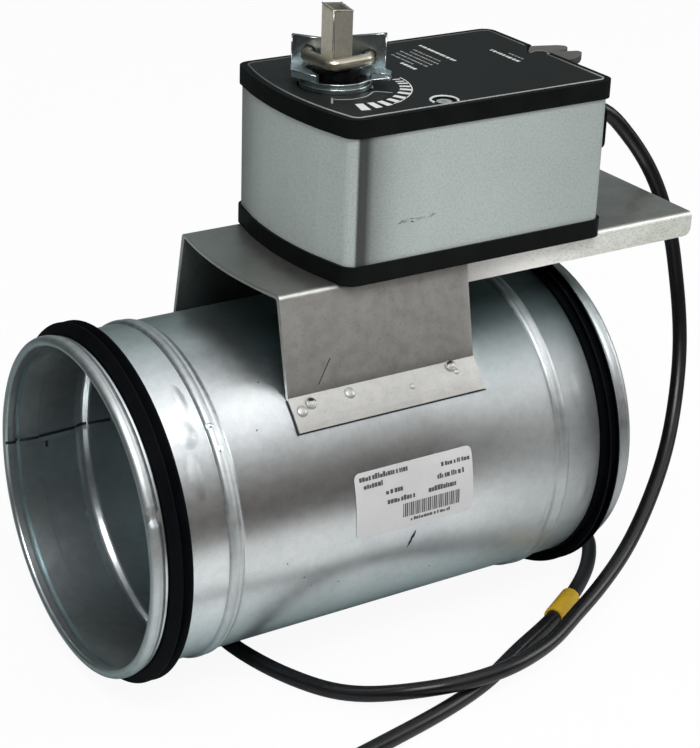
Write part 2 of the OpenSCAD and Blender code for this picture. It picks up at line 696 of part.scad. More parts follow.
clamp_base_z = collar_z + collar_h;
clamp_base_t = 2.4;
jaw_t = 2;
jaw_back = shaft_side / sqrt(2) + seat;
clamp_turn = 40;
bolt_lift = 4;
bolt_z = clamp_base_z + clamp_base_t + bolt_lift;
jaw_left_share = 0.83;
jaw_notch = 2;
jaw_notch_share = 1.3;
jaw_hole_gap = 0.7;
jaw_hole_r = rod_r + jaw_hole_gap;
// Two lugs of the base sheet, in the clamp's own frame
left_lug = [[-17, 5.8], [-15.2, -4.5], [-5.5, -10.2], [-4.7, -8.7], [-11, 0.2], [-11, 5.8]];
right_lug = [[13, -1], [19.6, -1], [19.6, 3], [17, 5.8], [13, 5.8]];
// The clamp's own frame: u to the right along the jaw, v backwards from the shaft's near corner
module clamp_frame() at_shaft() rotate(-clamp_turn) children();
module clamp_bracket() color([0.62, 0.66, 0.69]) union() {
    clamp_frame() translate([0, 0, clamp_base_z]) difference() {
        union() {
            linear_extrude(clamp_base_t) polygon(left_lug);
            linear_extrude(clamp_base_t) polygon(right_lug);
            translate([-jaw_hw, jaw_back - jaw_t, 0]) cube([2 * jaw_hw, 2 * jaw_t, clamp_base_t]);
        }
        translate([0, 0, -overrun]) cylinder(h = clamp_base_t + 2 * overrun, r = hub_r + seat / 2,
            $fn = smooth);
    }
    clamp_frame() difference() {
        translate([0, jaw_back + jaw_t, clamp_base_z]) rotate([90, 0, 0]) linear_extrude(jaw_t)
            polygon([[-jaw_hw, 0], [jaw_hw, 0], [jaw_hw, jaw_h],
                [jaw_notch * jaw_notch_share, jaw_h - jaw_notch],
                [-jaw_notch * jaw_notch_share, jaw_h * jaw_left_share - jaw_notch / 2],
                [-jaw_hw, jaw_h * jaw_left_share]]);
        translate([0, 0, clamp_base_z - overrun]) cylinder(h = hub_top - clamp_base_z + clear
            + overrun, r = hub_r + clear, $fn = smooth);
        for (u = [-1, 1]) translate([u * rod_gap, 0, bolt_z]) rotate([-90, 0, 0])
            cylinder(h = jaw_back + jaw_t + overrun, r = jaw_hole_r, $fn = smooth);
    }
}

rod_bend = 2.8;
rod_tail = 9;
shaft_skew = 45 - clamp_turn;
shaft_reach = shaft_side / sqrt(2) * (cos(shaft_skew) + sin(shaft_skew));
apex = shaft_reach + seat + rod_r + rod_bend * (sqrt(2) - 1);
bend_steps = 5;
rod_sides = 16;
rod_end = jaw_back + jaw_t + rod_tail;
rod_knee = rod_gap - apex;
module v_bolt() color([0.78, 0.72, 0.55]) clamp_frame() let(
    left = [-rod_gap, rod_knee],
    right = [rod_gap, rod_knee],
    tip = [0, -apex],
    path = concat([[-rod_gap, rod_end]],
        rounded_corner([-rod_gap, rod_end], left, tip, rod_bend, bend_steps),
        rounded_corner(left, tip, right, rod_bend, 2 * bend_steps),
        rounded_corner(tip, right, [rod_gap, rod_end], rod_bend, bend_steps),
        [[rod_gap, rod_end]]))
    swept_tube([for (p = path) [p.x, p.y, bolt_z]], rod_r, rod_sides);
nut_flat = 8;
nut_h = 4;
nut_flange_h = 1;
nut_flange_w = 0.4;
module clamp_nuts() color([0.72, 0.74, 0.72]) clamp_frame() for (u = [-1, 1])
    translate([u * rod_gap, jaw_back + jaw_t, bolt_z]) rotate([-90, 0, 0]) difference() {
        union() {
            cylinder(h = nut_h, r = nut_flat / sqrt(3), $fn = 6);
            cylinder(h = nut_flange_h, r = nut_flat / sqrt(3) + nut_flange_w, $fn = smooth);
        }
        translate([0, 0, -overrun]) cylinder(h = nut_h + 2 * overrun, r = rod_r + run,
            $fn = smooth / 2);
    }

// Blade: two sheets with a rubber ring between them, on the square shaft

seal_disc_r = duct_inner_r - blade_gap;
seal_overhang = 2.5;
sheet_r = seal_disc_r - seal_overhang;
sheet_split = shaft_side / 2 + seat;
blade_top = sqrt(sheet_r * sheet_r - sheet_split * sheet_split);
channel_w = shaft_side / 2 + blade_t + seat;
journal_l = 4.4;
journal_gap = duct_inner_r - bush_reach - journal_l - seat;
module bush_gap(z) {
    disc(z, bush_r + clear, duct_r);
    mirror([0, 0, 1]) disc(z, bush_r + clear, duct_r);
}
// Half blade sheet with a pressed channel that holds the shaft's one half
module blade_sheet() {
    intersection() {
        along_x() cylinder(h = shaft_side, r = sheet_r, $fn = smooth);
        union() {
            for (y = [-1, 1]) translate([blade_seal_t / 2, y > 0 ? channel_w : -duct_r,
                -duct_r]) cube([blade_t, duct_r - channel_w, 2 * duct_r]);
            translate([blade_seal_t / 2, 0, -journal_gap]) linear_extrude(2 * journal_gap)
                difference() {
                translate([0, -channel_w]) square([channel_w - blade_seal_t / 2, 2 * channel_w]);
                translate([-overrun, -shaft_side / 2 - seat])
                    square([shaft_side / 2 + seat - blade_seal_t / 2 + overrun,
                        shaft_side + 2 * seat]);
            }
        }
    }
}
module blade_front() color([0.74, 0.75, 0.76]) at_shaft() mirror([1, 0, 0]) difference() {
    blade_sheet();
    bush_gap(journal_gap);
    blade_rivet_holes();
}
module blade_back() color([0.74, 0.75, 0.76]) at_shaft() difference() {
    blade_sheet();
    bush_gap(journal_gap);
    blade_rivet_holes();
}
rivet_ring_share = 0.8;
blade_rivet_r = 1.6;
blade_rivet_angles = [30, 150, 210, 330];
blade_head_r = 3;
blade_head_h = 1;
module at_blade_rivets() for (a = blade_rivet_angles) let(r = rivet_ring_share * sheet_r)
    translate([0, r * cos(a), r * sin(a)]) rotate([0, 90, 0]) children();
module blade_rivet_holes() at_blade_rivets() translate([0, 0, -shaft_side])
    cylinder(h = 2 * shaft_side, r = blade_rivet_r + seat, $fn = smooth / 2);
module blade_seal() color([0.08, 0.08, 0.09]) at_shaft() difference() {
    along_x(-blade_seal_t / 2) cylinder(h = blade_seal_t, r = seal_disc_r, $fn = smooth);
    along_x(-blade_seal_t) cylinder(h = 2 * blade_seal_t, r = sheet_r - seal_grip, $fn = smooth);
    bush_gap(0);
}
module blade_rivets() color([0.7, 0.72, 0.73]) at_shaft() at_blade_rivets() {
    translate([0, 0, -blade_seal_t / 2 - blade_t - blade_head_h])
        cylinder(h = blade_seal_t + 2 * (blade_t + blade_head_h), r = blade_rivet_r,
            $fn = smooth / 2);
    for (s = [0, 1]) mirror([0, 0, s]) translate([0, 0, blade_seal_t / 2 + blade_t])
        cylinder(h = blade_head_h, r = blade_head_r, $fn = smooth / 2);
}

shaft_bottom = -duct_r - cap_h + cap_floor + clear;
socket_w = 5.8;
socket_depth = 10;
saw_tilt = [8, 5.7, 0];
module blade_shaft() color([0.6, 0.57, 0.53]) at_shaft() difference() {
    translate([-shaft_side / 2, -shaft_side / 2, shaft_bottom])
        cube([shaft_side, shaft_side, shaft_top + overrun - shaft_bottom]);
    translate([-socket_w / 2, -socket_w / 2, shaft_top - socket_depth])
        cube([socket_w, socket_w, socket_depth + 2 * overrun]);
    translate([0, 0, shaft_top]) rotate(saw_tilt) translate([-shaft_side, -shaft_side, 0])
        cube([2 * shaft_side, 2 * shaft_side, shaft_side]);
}
module journal(z, h) difference() {
    disc(z, journal_r, h);
    translate([-shaft_side / 2 - seat, -shaft_side / 2 - seat, z - overrun])
        cube([shaft_side + 2 * seat, shaft_side + 2 * seat, h + 2 * overrun]);
}
module upper_journal() color([0.85, 0.84, 0.8]) at_shaft()
    journal(duct_inner_r - bush_reach - journal_l, journal_l + bush_reach + duct_wall
        + bush_flange_h);
module lower_journal() color([0.85, 0.84, 0.8]) at_shaft()
    journal(shaft_bottom, duct_r + cap_h - cap_floor - clear - duct_inner_r + bush_reach
        + journal_l);

// Cable: gland, the free run, its marker sleeve and the stripped end

gland_x = case_x1 - sleeve_right_step;
gland_plug_l = 1;
gland_block_t = 6.6;
gland_block_y = [-34, 8];
gland_block_z = [-6.5, 10.5];
gland_round = 3;
gland_tip_r = 4.2;
gland_root_r = 5.8;
gland_boot_l = 13.6;
gland_tip_x = gland_x + gland_boot_l;
module cable_gland() color([0.06, 0.06, 0.07]) translate([gland_x, gland_y, gland_z])
    rotate([90, 0, 90]) {
        translate([0, 0, -sleeve_t - gland_plug_l])
            cylinder(h = sleeve_t + gland_plug_l + overrun, r = gland_hole_r - seat, $fn = smooth);
        linear_extrude(gland_block_t) polygon(rounded(
            [[gland_block_y[0], gland_block_z[0]], [gland_block_y[1], gland_block_z[0]],
                [gland_block_y[1], gland_block_z[1]], [gland_block_y[0], gland_block_z[1]]],
            [gland_round, gland_round, gland_round, gland_round]));
        translate([0, 0, gland_block_t - overrun]) cylinder(h = gland_boot_l - gland_block_t
            + overrun, r1 = gland_root_r, r2 = gland_tip_r, $fn = smooth);
    }

cable_points = [[gland_tip_x, gland_y, gland_z], [218, 4, 119.5], [225, 4, 118.6],
    [231.5, 4, 116.3], [237.9, 4, 112.2], [243.4, 3.8, 106.4], [248.5, 3.3, 100.8],
    [252.9, 2.6, 95.3], [256.4, 1.7, 89.8], [259.2, 0.7, 84.5], [261.6, -0.5, 79],
    [265, -3, 67.8], [267.8, -4.9, 56.5], [269.5, -6.4, 45.3], [270.8, -9.7, 28.6],
    [268, -15.9, 12.4], [260.5, -24.4, -5], [249, -34.4, -20.7], [233, -45, -35],
    [214, -55.5, -47], [193, -65.5, -54], [175, -73.5, -57.2], [156.6, -82.6, -58.7],
    [137.2, -88.5, -58.7], [125.7, -89.8, -58.7], [114.5, -89.7, -58.7], [105, -88.1, -58.8],
    [96.5, -84.8, -59.6], [89.4, -80, -61.2], [82, -73, -63.7], [72, -62, -65.2],
    [63, -45, -65.2], [57.5, -27, -65.2], [55, -8, -65.2], [58, 14, -65.2], [68, 37, -65.2],
    [86, 58, -65.2], [112, 72, -65.2], [142, 77, -65.2], [172, 73, -65.2], [200, 60, -65.2],
    [222, 38, -65.2], [232, 12, -65.2], [228, -14, -64.8], [212, -35, -64.2],
    [192, -51, -64.2], [172, -63, -64.2], [148, -74, -64.4], [125, -85, -65.2],
    [100, -93, -65.2], [72, -99, -65.2], [46, -104, -65.2], [24, -108, -65.2]];
cable_sides = 10;
gap_steps = 4;
gap_skip = 12;
cable_run = [for (i = [0:len(cable_points) - 2], k = [0:gap_steps - 1])
    cable_points[i] + (cable_points[i + 1] - cable_points[i]) * k / gap_steps];
cable_gap = min([for (i = [0:len(cable_run) - 1], j = [i + gap_skip:len(cable_run) - 1])
    norm(cable_run[i] - cable_run[j])]) - 2 * cable_r;
echo(str("Least gap of the cable to itself: ", cable_gap));
module swept_tube(pts, radius, sides) {
    n = len(pts);
    tangents = [for (i = [0:n - 1]) unit(pts[min(i + 1, n - 1)] - pts[max(i - 1, 0)])];
    rings = [for (i = [0:n - 1]) let(
        t = tangents[i],
        u = unit(cross(abs(t.z) > 0.9 ? [0, 1, 0] : [0, 0, 1], t)),
        v = cross(t, u))
        each [for (k = [0:sides - 1]) pts[i] + radius * (u * cos(360 * k / sides)
            + v * sin(360 * k / sides))]];
    walls = [for (i = [0:n - 2], k = [0:sides - 1]) let(
        a = i * sides + k,
        b = i * sides + (k + 1) % sides)
        each [[a, a + sides, b], [b, a + sides, b + sides]]];
    first = [for (k = [1:sides - 2]) [0, k, k + 1]];
    last = [for (k = [1:sides - 2]) [(n - 1) * sides, (n - 1) * sides + k + 1,
        (n - 1) * sides + k]];
    polyhedron(points = rings, faces = concat(walls, first, last));
}
module cable() color([0.05, 0.05, 0.05]) swept_tube(cable_points, cable_r, cable_sides);

marker_from = 45;
marker_t = 0.9;
marker_margin_share = 0.12;
module cable_marker() color([0.85, 0.7, 0.1]) let(
    a = cable_points[marker_from],
    b = cable_points[marker_from + 1],
    dir = unit(b - a),
    gap = norm(b - a) * marker_margin_share)
    translate(a + dir * gap) rotate([0, 90, atan2(dir.y, dir.x)]) difference() {
        cylinder(h = norm(b - a) - 2 * gap, r = cable_r + seat + marker_t, $fn = smooth / 2);
        translate([0, 0, -overrun]) cylinder(h = norm(b - a) + overrun, r = cable_r + seat,
            $fn = smooth / 2);
    }

core_r = 1;
core_l = 18;
core_spread = 1.25;
ferrule_l = 8;
cable_end = cable_points[len(cable_points) - 1];
cable_dir = unit(cable_end - cable_points[len(cable_points) - 2]);
module at_cores() translate(cable_end) rotate([0, 90, atan2(cable_dir.y, cable_dir.x)])
    for (y = [-1, 1]) translate([0, y * core_spread, 0]) children();
module cable_cores() color([0.45, 0.25, 0.12]) at_cores()
    cylinder(h = core_l, r = core_r, $fn = smooth / 4);
module core_ferrules() color([0.8, 0.8, 0.78]) at_cores() translate([0, 0, core_l])
    cylinder(h = ferrule_l, r = core_r, $fn = smooth / 4);

// Crank for turning the gears by hand, clipped into the right end of the top cover

crank_inset = 8.3;
crank_x = case_x1 - crank_inset;
crank_sink = 2.6;
crank_seat_h = 4.6;
crank_seat_w = 2;
crank_slot_y = 11.8;
notch_points = [[0.2, 3.5], [6.4, crank_slot_y], [12, crank_slot_y], [12, -1], [7.8, -1],
    [7.9, 1.4], [6.9, 3.4], [3.9, 4.6], [1.2, 3.4]];
crank_points = [[1.1, 4.3], [6.9, 10.8], [11, 9.6], [17.3, 7.4], [20.1, 5.2], [18.5, 2.3],
    [15.4, 0.3], [11.3, 1], [16.9, -1.6], [19.8, -2.4], [19.9, -4.8], [15.7, -8.9],
    [11.1, -11.2], [8.6, -11], [8.6, 1.8], [7.5, 4.2], [4, 5.4]];
crank_rounding = [0.3, 2, 6, 2, 2, 2, 2, 0.3, 3, 1, 2, 3, 2, 0.6, 1.5, 1.5, 2];
module crank_handle() color([0.5, 0.51, 0.49]) translate([crank_x, 0, case_top - crank_sink])
    linear_extrude(crank_sink) polygon(rounded(crank_points, crank_rounding, 4));

duct_tube();
inlet_seal();
outlet_seal();
upper_bush();
lower_bush();
bracket();
bracket_rivets();
mounting_screws();
lower_tray();
housing_sleeve();
top_cover();
label_plate();
cover_screws();
gear_plate();
gear_plate_screws();
gear_axles();
motor();
circuit_board();
board_parts();
return_spring();
spring_case();
cable_gland();
cable();
cable_marker();
cable_cores();
core_ferrules();
crank_handle();
blade_front();
blade_back();
blade_seal();
blade_rivets();
blade_shaft();
upper_journal();
lower_journal();
output_hub();
output_gear();
hub_collar();
clamp_bracket();
v_bolt();
clamp_nuts();
second_gear();
first_gear();
motor_pinion();
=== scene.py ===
"""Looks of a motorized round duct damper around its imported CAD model.

Metres, in the part's frame: X along the duct from inlet to outlet, Z up along the blade
shaft, and the origin on the duct's axis at the inlet. Angles round the duct are degrees
from the top, positive towards +Y, so the camera's side is negative. Tables of places hold
millimetres, as does every radius, width and height that a helper takes.
"""

import math
import random

import bmesh
import bpy
from mathutils import Matrix, Vector


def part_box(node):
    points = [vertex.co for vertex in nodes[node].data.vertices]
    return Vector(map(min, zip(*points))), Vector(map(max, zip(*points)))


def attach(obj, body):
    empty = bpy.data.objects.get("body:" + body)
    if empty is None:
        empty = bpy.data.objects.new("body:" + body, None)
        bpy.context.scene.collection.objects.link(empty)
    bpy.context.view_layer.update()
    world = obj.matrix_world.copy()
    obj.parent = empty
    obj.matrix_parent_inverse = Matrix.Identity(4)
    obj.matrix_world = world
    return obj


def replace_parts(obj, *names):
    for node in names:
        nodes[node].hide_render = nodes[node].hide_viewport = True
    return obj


MM = 0.001
FLOOR_Z = -68.2 * MM

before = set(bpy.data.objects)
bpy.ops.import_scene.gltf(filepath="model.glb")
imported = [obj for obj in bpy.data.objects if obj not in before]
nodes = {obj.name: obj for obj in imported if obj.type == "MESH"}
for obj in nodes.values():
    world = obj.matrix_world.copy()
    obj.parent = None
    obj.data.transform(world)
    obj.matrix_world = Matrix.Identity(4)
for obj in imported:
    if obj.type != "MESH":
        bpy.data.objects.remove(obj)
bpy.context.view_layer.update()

# Places on the CAD model, in millimetres
MIDDLE_X = 101.8
SHEET_R = 62.0
FOOT_R = 63.6
SLEEVE_Y = -39.1
LABEL_Z = 143.5
CLAMP_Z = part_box("clamp_bracket")[0][2] / MM
SHAFT = Vector((105.0, 0.0))
SCREW = Vector((129.3, 33.0))
LEG_TOP_Y, LEG_TOP_Z = 35.3, 82.9
LEG_OUT, LEG_DOWN = 7.42, 35.8


# Camera


def make_camera():
    """The photograph's view; the axes of its frame were fitted to the duct and the case."""
    right = Vector((0.84481, -0.53410, 0.03220))
    down = Vector((-0.19571, -0.36446, -0.91042))
    ahead = Vector((0.49799, 0.76283, -0.41242))
    place = Vector((-0.2785, -0.6036, 0.3545))
    data = bpy.data.cameras.new("camera")
    data.lens = 99.947
    data.sensor_width = 36
    data.clip_start = 0.01
    data.clip_end = 30
    camera = bpy.data.objects.new("camera", data)
    bpy.context.scene.collection.objects.link(camera)
    turn = Matrix((right, -down, -ahead)).transposed().to_4x4()
    camera.matrix_world = Matrix.Translation(place) @ turn
    bpy.context.scene.camera = camera


make_camera()


# Small helpers


def link(obj, body):
    """Puts a finished object in the scene, riding on a body."""
    bpy.context.scene.collection.objects.link(obj)
    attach(obj, body)
    return obj


def mesh_object(name, verts, faces, material, smooth, closed):
    """A mesh object; a closed one has its faces turned outwards."""
    mesh = bpy.data.meshes.new(name)
    mesh.from_pydata([tuple(v) for v in verts], [], faces)
    mesh.validate()
    if closed:
        work = bmesh.new()
        work.from_mesh(mesh)
        bmesh.ops.recalc_face_normals(work, faces=work.faces)
        work.to_mesh(mesh)
        work.free()
    for polygon in mesh.polygons:
        polygon.use_smooth = smooth
    mesh.materials.append(material)
    return bpy.data.objects.new(name, mesh)


def gather(name, parts, material, smooth=True, closed=False, body="damper"):
    """One object from many (verts, faces) parts of one material, riding on a body."""
    verts, faces = [], []
    for part_verts, part_faces in parts:
        start = len(verts)
        verts += part_verts
        faces += [tuple(start + i for i in face) for face in part_faces]
    return link(mesh_object(name, verts, faces, material, smooth, closed), body)


def grid_faces(rows, columns, loop_rows=False, loop_columns=False, flip=False):
    """Quads between rows of points, each row as many points as there are columns."""
    faces = []
    for i in range(rows if loop_rows else rows - 1):
        for k in range(columns if loop_columns else columns - 1):
            after, beside = (i + 1) % rows * columns, (k + 1) % columns
            a, b = i * columns + k, i * columns + beside
            c, d = after + k, after + beside
            faces.append((a, c, d, b) if flip else (a, b, d, c))
    return faces


def ring(steps):
    """The cosine and sine of each step round a circle."""
    turns = [2 * math.pi * k / steps for k in range(steps)]
    return [(math.cos(a), math.sin(a)) for a in turns]


def dense_curve(points, step):
    """Points every step metres or so on a smooth line through the given points."""
    line = []
    for i in range(len(points) - 1):
        before = points[max(i - 1, 0)]
        a, b = points[i], points[i + 1]
        after = points[min(i + 2, len(points) - 1)]
        count = max(2, round((b - a).length / step))
        for k in range(count):
            t = k / count
            line.append(0.5 * (2 * a + (b - before) * t
                               + (2 * before - 5 * a + 4 * b - after) * t * t
                               + (3 * a - before - 3 * b + after) * t ** 3))
    line.append(points[-1])
    return line


def smoothed(line, rounds, held=2):
    """The same line with its small turns evened out, its first and last points held."""
    for _ in range(rounds):
        line = line[:held] + [
            line[i] * 0.5 + (line[i - 1] + line[i + 1]) * 0.25
            for i in range(held, len(line) - held)
        ] + line[-held:]
    return line


def thin_tube(points, radius, sides=8, closed=False):
    """A thin round tube along points; closed joins its end to its start."""
    line = [Vector(p) * MM for p in points]
    verts = []
    count = len(line)
    for i, point in enumerate(line):
        if closed:
            ahead = line[(i + 1) % count] - line[i - 1]
        else:
            ahead = line[min(i + 1, count - 1)] - line[max(i - 1, 0)]
        ahead.normalize()
        up = Vector((0, 0, 1)) if abs(ahead.z) < 0.9 else Vector((1, 0, 0))
        side = ahead.cross(up).normalized()
        over = side.cross(ahead)
        verts += [point + (side * c + over * s) * radius * MM for c, s in ring(sides)]
    faces = grid_faces(count, sides, loop_rows=closed, loop_columns=True)
    if not closed:
        faces.append(tuple(range(sides)))
        faces.append(tuple((count - 1) * sides + k for k in range(sides)))
    return verts, faces


def polar(radius, degrees, x):
    """The point at a radius and an angle round the duct, from millimetres."""
    a = math.radians(degrees)
    return Vector((x * MM, radius * MM * math.sin(a), radius * MM * math.cos(a)))


# Node materials


def new_material(name):
    """A node material, its tree and its main shader."""
    material = bpy.data.materials.new(name)
    material.use_nodes = True
    tree = material.node_tree
    shader = tree.nodes["Principled BSDF"]
    return material, tree, shader


def add(tree, kind, *inputs, **values):
    """A node with inputs set in order, and inputs or properties set by name.

    An input takes a plain value or the output of another node.
    """
    node = tree.nodes.new(kind)
    for key, value in (*enumerate(inputs), *values.items()):
        if isinstance(key, str) and key not in node.inputs:
            setattr(node, key, value)
        elif isinstance(value, bpy.types.NodeSocket):
            tree.links.new(value, node.inputs[key])
        else:
            node.inputs[key].default_value = value
    return node


def object_position(tree, scale=(1, 1, 1)):
    """The place on the part in millimetres, so that patterns have real sizes."""
    place = add(tree, "ShaderNodeTexCoord").outputs["Object"]
    return add(tree, "ShaderNodeMapping", Vector=place,
               Scale=[s / MM for s in scale]).outputs["Vector"]


def noise_node(tree, place, size, detail, roughness):
    """Noise whose blobs are about size millimetres across."""
    return add(tree, "ShaderNodeTexNoise", Vector=place, Scale=1 / size, Detail=detail,
               Roughness=roughness).outputs["Fac"]


def ramp(tree, value, stops):
    """A colour or grey by value; stops are (place, colour or grey)."""
    node = add(tree, "ShaderNodeValToRGB", Fac=value)
    elements = node.color_ramp.elements
    while len(elements) < len(stops):
        elements.new(0.5)
    for element, (place, colour) in zip(elements, stops):
        element.position = place
        shade = colour if isinstance(colour, (tuple, list)) else (colour,) * 3
        element.color = (*shade, 1)
    return node.outputs["Color"]


def mixed(tree, a, b, amount, kind="MIX"):
    """Two colours mixed; each of the three may be a value or another node's output."""
    node = add(tree, "ShaderNodeMix", data_type="RGBA", blend_type=kind)
    for name, value in (("Factor_Float", amount), ("A_Color", a), ("B_Color", b)):
        socket = next(s for s in node.inputs if s.identifier == name)
        if isinstance(value, bpy.types.NodeSocket):
            tree.links.new(value, socket)
        elif name == "Factor_Float":
            socket.default_value = value
        else:
            socket.default_value = (*value, 1)
    return next(s for s in node.outputs if s.identifier == "Result_Color")


def times(tree, a, b):
    """One colour multiplied by another."""
    return mixed(tree, a, b, 1.0, "MULTIPLY")


def bump(tree, shader, height, strength, distance, under=None):
    """Sets a shader's normal from a height, on top of an earlier bump if one is given."""
    node = add(tree, "ShaderNodeBump", Strength=strength, Distance=distance, Height=height)
    if under is not None:
        tree.links.new(under, node.inputs["Normal"])
    tree.links.new(node.outputs["Normal"], shader.inputs["Normal"])
    return node.outputs["Normal"]


def along(tree, axis, start, end, stops):
    """A tone that changes along one axis of the part, between two places in millimetres."""
    parts = add(tree, "ShaderNodeSeparateXYZ", object_position(tree))
    span = add(tree, "ShaderNodeMapRange", parts.outputs[axis], start, end)
    return ramp(tree, span.outputs["Result"],
                [((place - start) / (end - start), tone) for place, tone in stops])


def painted_corner_shade(tree, tone, depth):
    """Darkens a tone in corners and under other parts with a teal tint: painted shade, found by
    ambient occlusion.
    """
    near = add(tree, "ShaderNodeAmbientOcclusion", samples=4, Distance=60 * MM)
    low = 1 - depth
    return times(tree, tone, ramp(tree, near.outputs["AO"], [
        (0.15, (low * 0.9, low * 1.03, low * 1.05)), (0.85, 1.0)]))


def galvanised(name, light, dark, rough, grain=26.0, pits=0.25, dents=0.1, places=(),
               shade=0.35, dull=None):
    """Zinc-coated sheet: cloudy patches, small spangle, fine pits and shallow waves."""
    material, tree, shader = new_material(name)
    place = object_position(tree)
    clouds = noise_node(tree, place, grain, 4, 0.55)
    spangle = noise_node(tree, place, 3.5, 3, 0.6)
    specks = noise_node(tree, place, 0.9, 2, 0.6)
    waves = noise_node(tree, object_position(tree, (0.35, 1, 1)), 16.0, 1, 0.3)
    tone = ramp(tree, clouds, [(0.32, dark), (0.62, light)])
    tone = times(tree, tone, ramp(tree, spangle, [(0.35, 0.93), (0.6, 1.0)]))
    tone = mixed(tree, tone, ramp(tree, specks, [(0.3, 0.7), (0.42, 1.0)]), pits, "MULTIPLY")
    # Tones along the part's axes; the duct, its rolled edges and the bracket use them for painted
    # light and shade
    for where in places:
        tone = times(tree, tone, along(tree, *where))
    # Painted shade in corners and under other parts, as deep as shade asks
    tree.links.new(painted_corner_shade(tree, tone, shade), shader.inputs["Base Color"])
    shader.inputs["Metallic"].default_value = 1.0
    gloss = ramp(tree, spangle, [(0.3, rough[0]), (0.7, rough[1])])
    if dull:
        gloss = mixed(tree, gloss, along(tree, *dull), 1.0, "ADD")
    tree.links.new(gloss, shader.inputs["Roughness"])
    under = bump(tree, shader, waves, dents, 0.002)
    bump(tree, shader, specks, 0.06, 0.00012, under)
    return material, tree, shader


def multiplied(tree, shader, shade):
    """Multiplies what already colours a shader by another tone."""
    tone = shader.inputs["Base Color"].links[0].from_socket
    tree.links.new(times(tree, tone, shade), shader.inputs["Base Color"])


def both(tree, first, second):
    """Where two of the part's places meet, each given as along() takes it, from 0 to 1."""
    return times(tree, along(tree, *first), along(tree, *second))


def duct_zinc():
    """The duct's sheet, rougher towards the outlet, with painted light and shade: lighter near the
    inlet, darker towards the outlet and under the arm.
    """
    length, height = ("X", 0.0, 250.0), ("Z", 0.0, 100.0)
    material, tree, shader = galvanised(
        "zinc_sheet", (0.76, 0.79, 0.80), (0.68, 0.72, 0.73), (0.285, 0.315), shade=0.2,
        # Lighter near the inlet and darker towards the outlet: painted light and shade
        places=[(*length, [(26, 1.15), (34, 1.0), (135, 1.0), (152, 0.92), (170, 0.86),
                           (184, 0.62), (205, 0.6)])],
        dull=(*length, [(112, 0.0), (148, 0.15), (180, 0.24)]))
    # Dark under the bracket's arm: painted shade
    under = both(tree, (*length, [(128, 0.0), (146, 1.0)]), (*height, [(30, 0.0), (54, 1.0)]))
    multiplied(tree, shader, ramp(tree, under, [(0.0, 1.0), (1.0, (0.25, 0.3, 0.3))]))
    # A teal tint in the shade under the bracket's bridge: painted shade
    under_bridge_shade = both(tree, (*length, [(54, 0.0), (66, 1.0), (134, 1.0), (146, 0.0)]),
                  (*height, [(46, 0.0), (58, 1.0)]))
    multiplied(tree, shader, ramp(tree, under_bridge_shade, [(0.0, 1.0), (1.0, (0.95, 1.1, 1.12))]))
    return material


def bracket_zinc():
    """The bracket's duller sheet with painted light and shade by place; its arm's lip is speckled,
    less metallic and pale, partly painted light.
    """
    length, height = ("X", 0.0, 300.0), ("Z", 40.0, 90.0)
    material, tree, shader = galvanised(
        "bracket_sheet", (0.66, 0.655, 0.625), (0.60, 0.595, 0.565), (0.3, 0.36), grain=18.0,
        # Deep painted shade under the bridge and in the bracket's corners
        pits=0.5, dents=0.04, shade=0.78, places=(
            # Lighter along the arm and up the legs, darker on the top plate: painted light and
            # shade
            (*length, [(136, 1.0), (165, 1.3), (180, 1.35), (240, 1.35)]),
            (*height, [(47.0, 0.86), (49.0, 1.02), (51, 1.22), (58, 1.32), (68, 1.5), (80, 1.65),
                       (82.2, 1.5), (82.8, 0.72)])))
    below_top = (*height, [(81.8, 1.0), (82.6, 0.0)])
    lip = both(tree, (*length, [(139, 0.0), (172, 1.0)]), below_top)
    tree.links.new(ramp(tree, lip, [(0.0, 0.9), (1.0, 0.4)]), shader.inputs["Metallic"])
    # The arm below its top grows darker towards its far end: painted shade
    far = both(tree, (*length, [(165, 0.0), (200, 0.7), (240, 1.0)]), below_top)
    multiplied(tree, shader, ramp(tree, far, [(0.0, 1.0), (1.0, (0.53, 0.56, 0.53))]))
    worn = noise_node(tree, object_position(tree, (0.7, 1, 1.2)), 0.9, 4, 0.7)
    multiplied(tree, shader, mixed(tree, (1.0, 1.0, 1.0), ramp(tree, worn, [
        (0.32, 0.72), (0.56, 1.0)]), lip, "MULTIPLY"))
    return material


def plain_metal(name, colour, rough, spot=3.0, depth=0.08, metallic=1.0, vary=0.82, tones=None):
    """A plated or turned piece with small changes of tone."""
    material, tree, shader = new_material(name)
    place = object_position(tree)
    mottle = noise_node(tree, place, spot, 4, 0.6)
    tone = ramp(tree, mottle, [(0.35, tuple(c * vary for c in colour)), (0.65, colour)])
    # A tone along one axis; the clamp and the shaft use it for painted light and reflection
    if tones:
        tone = times(tree, tone, along(tree, *tones))
    tree.links.new(tone, shader.inputs["Base Color"])
    tree.links.new(ramp(tree, mottle, [(0.3, rough * 0.8), (0.7, rough * 1.25)]),
                   shader.inputs["Roughness"])
    shader.inputs["Metallic"].default_value = metallic
    bump(tree, shader, mottle, depth, 0.0002)
    return material


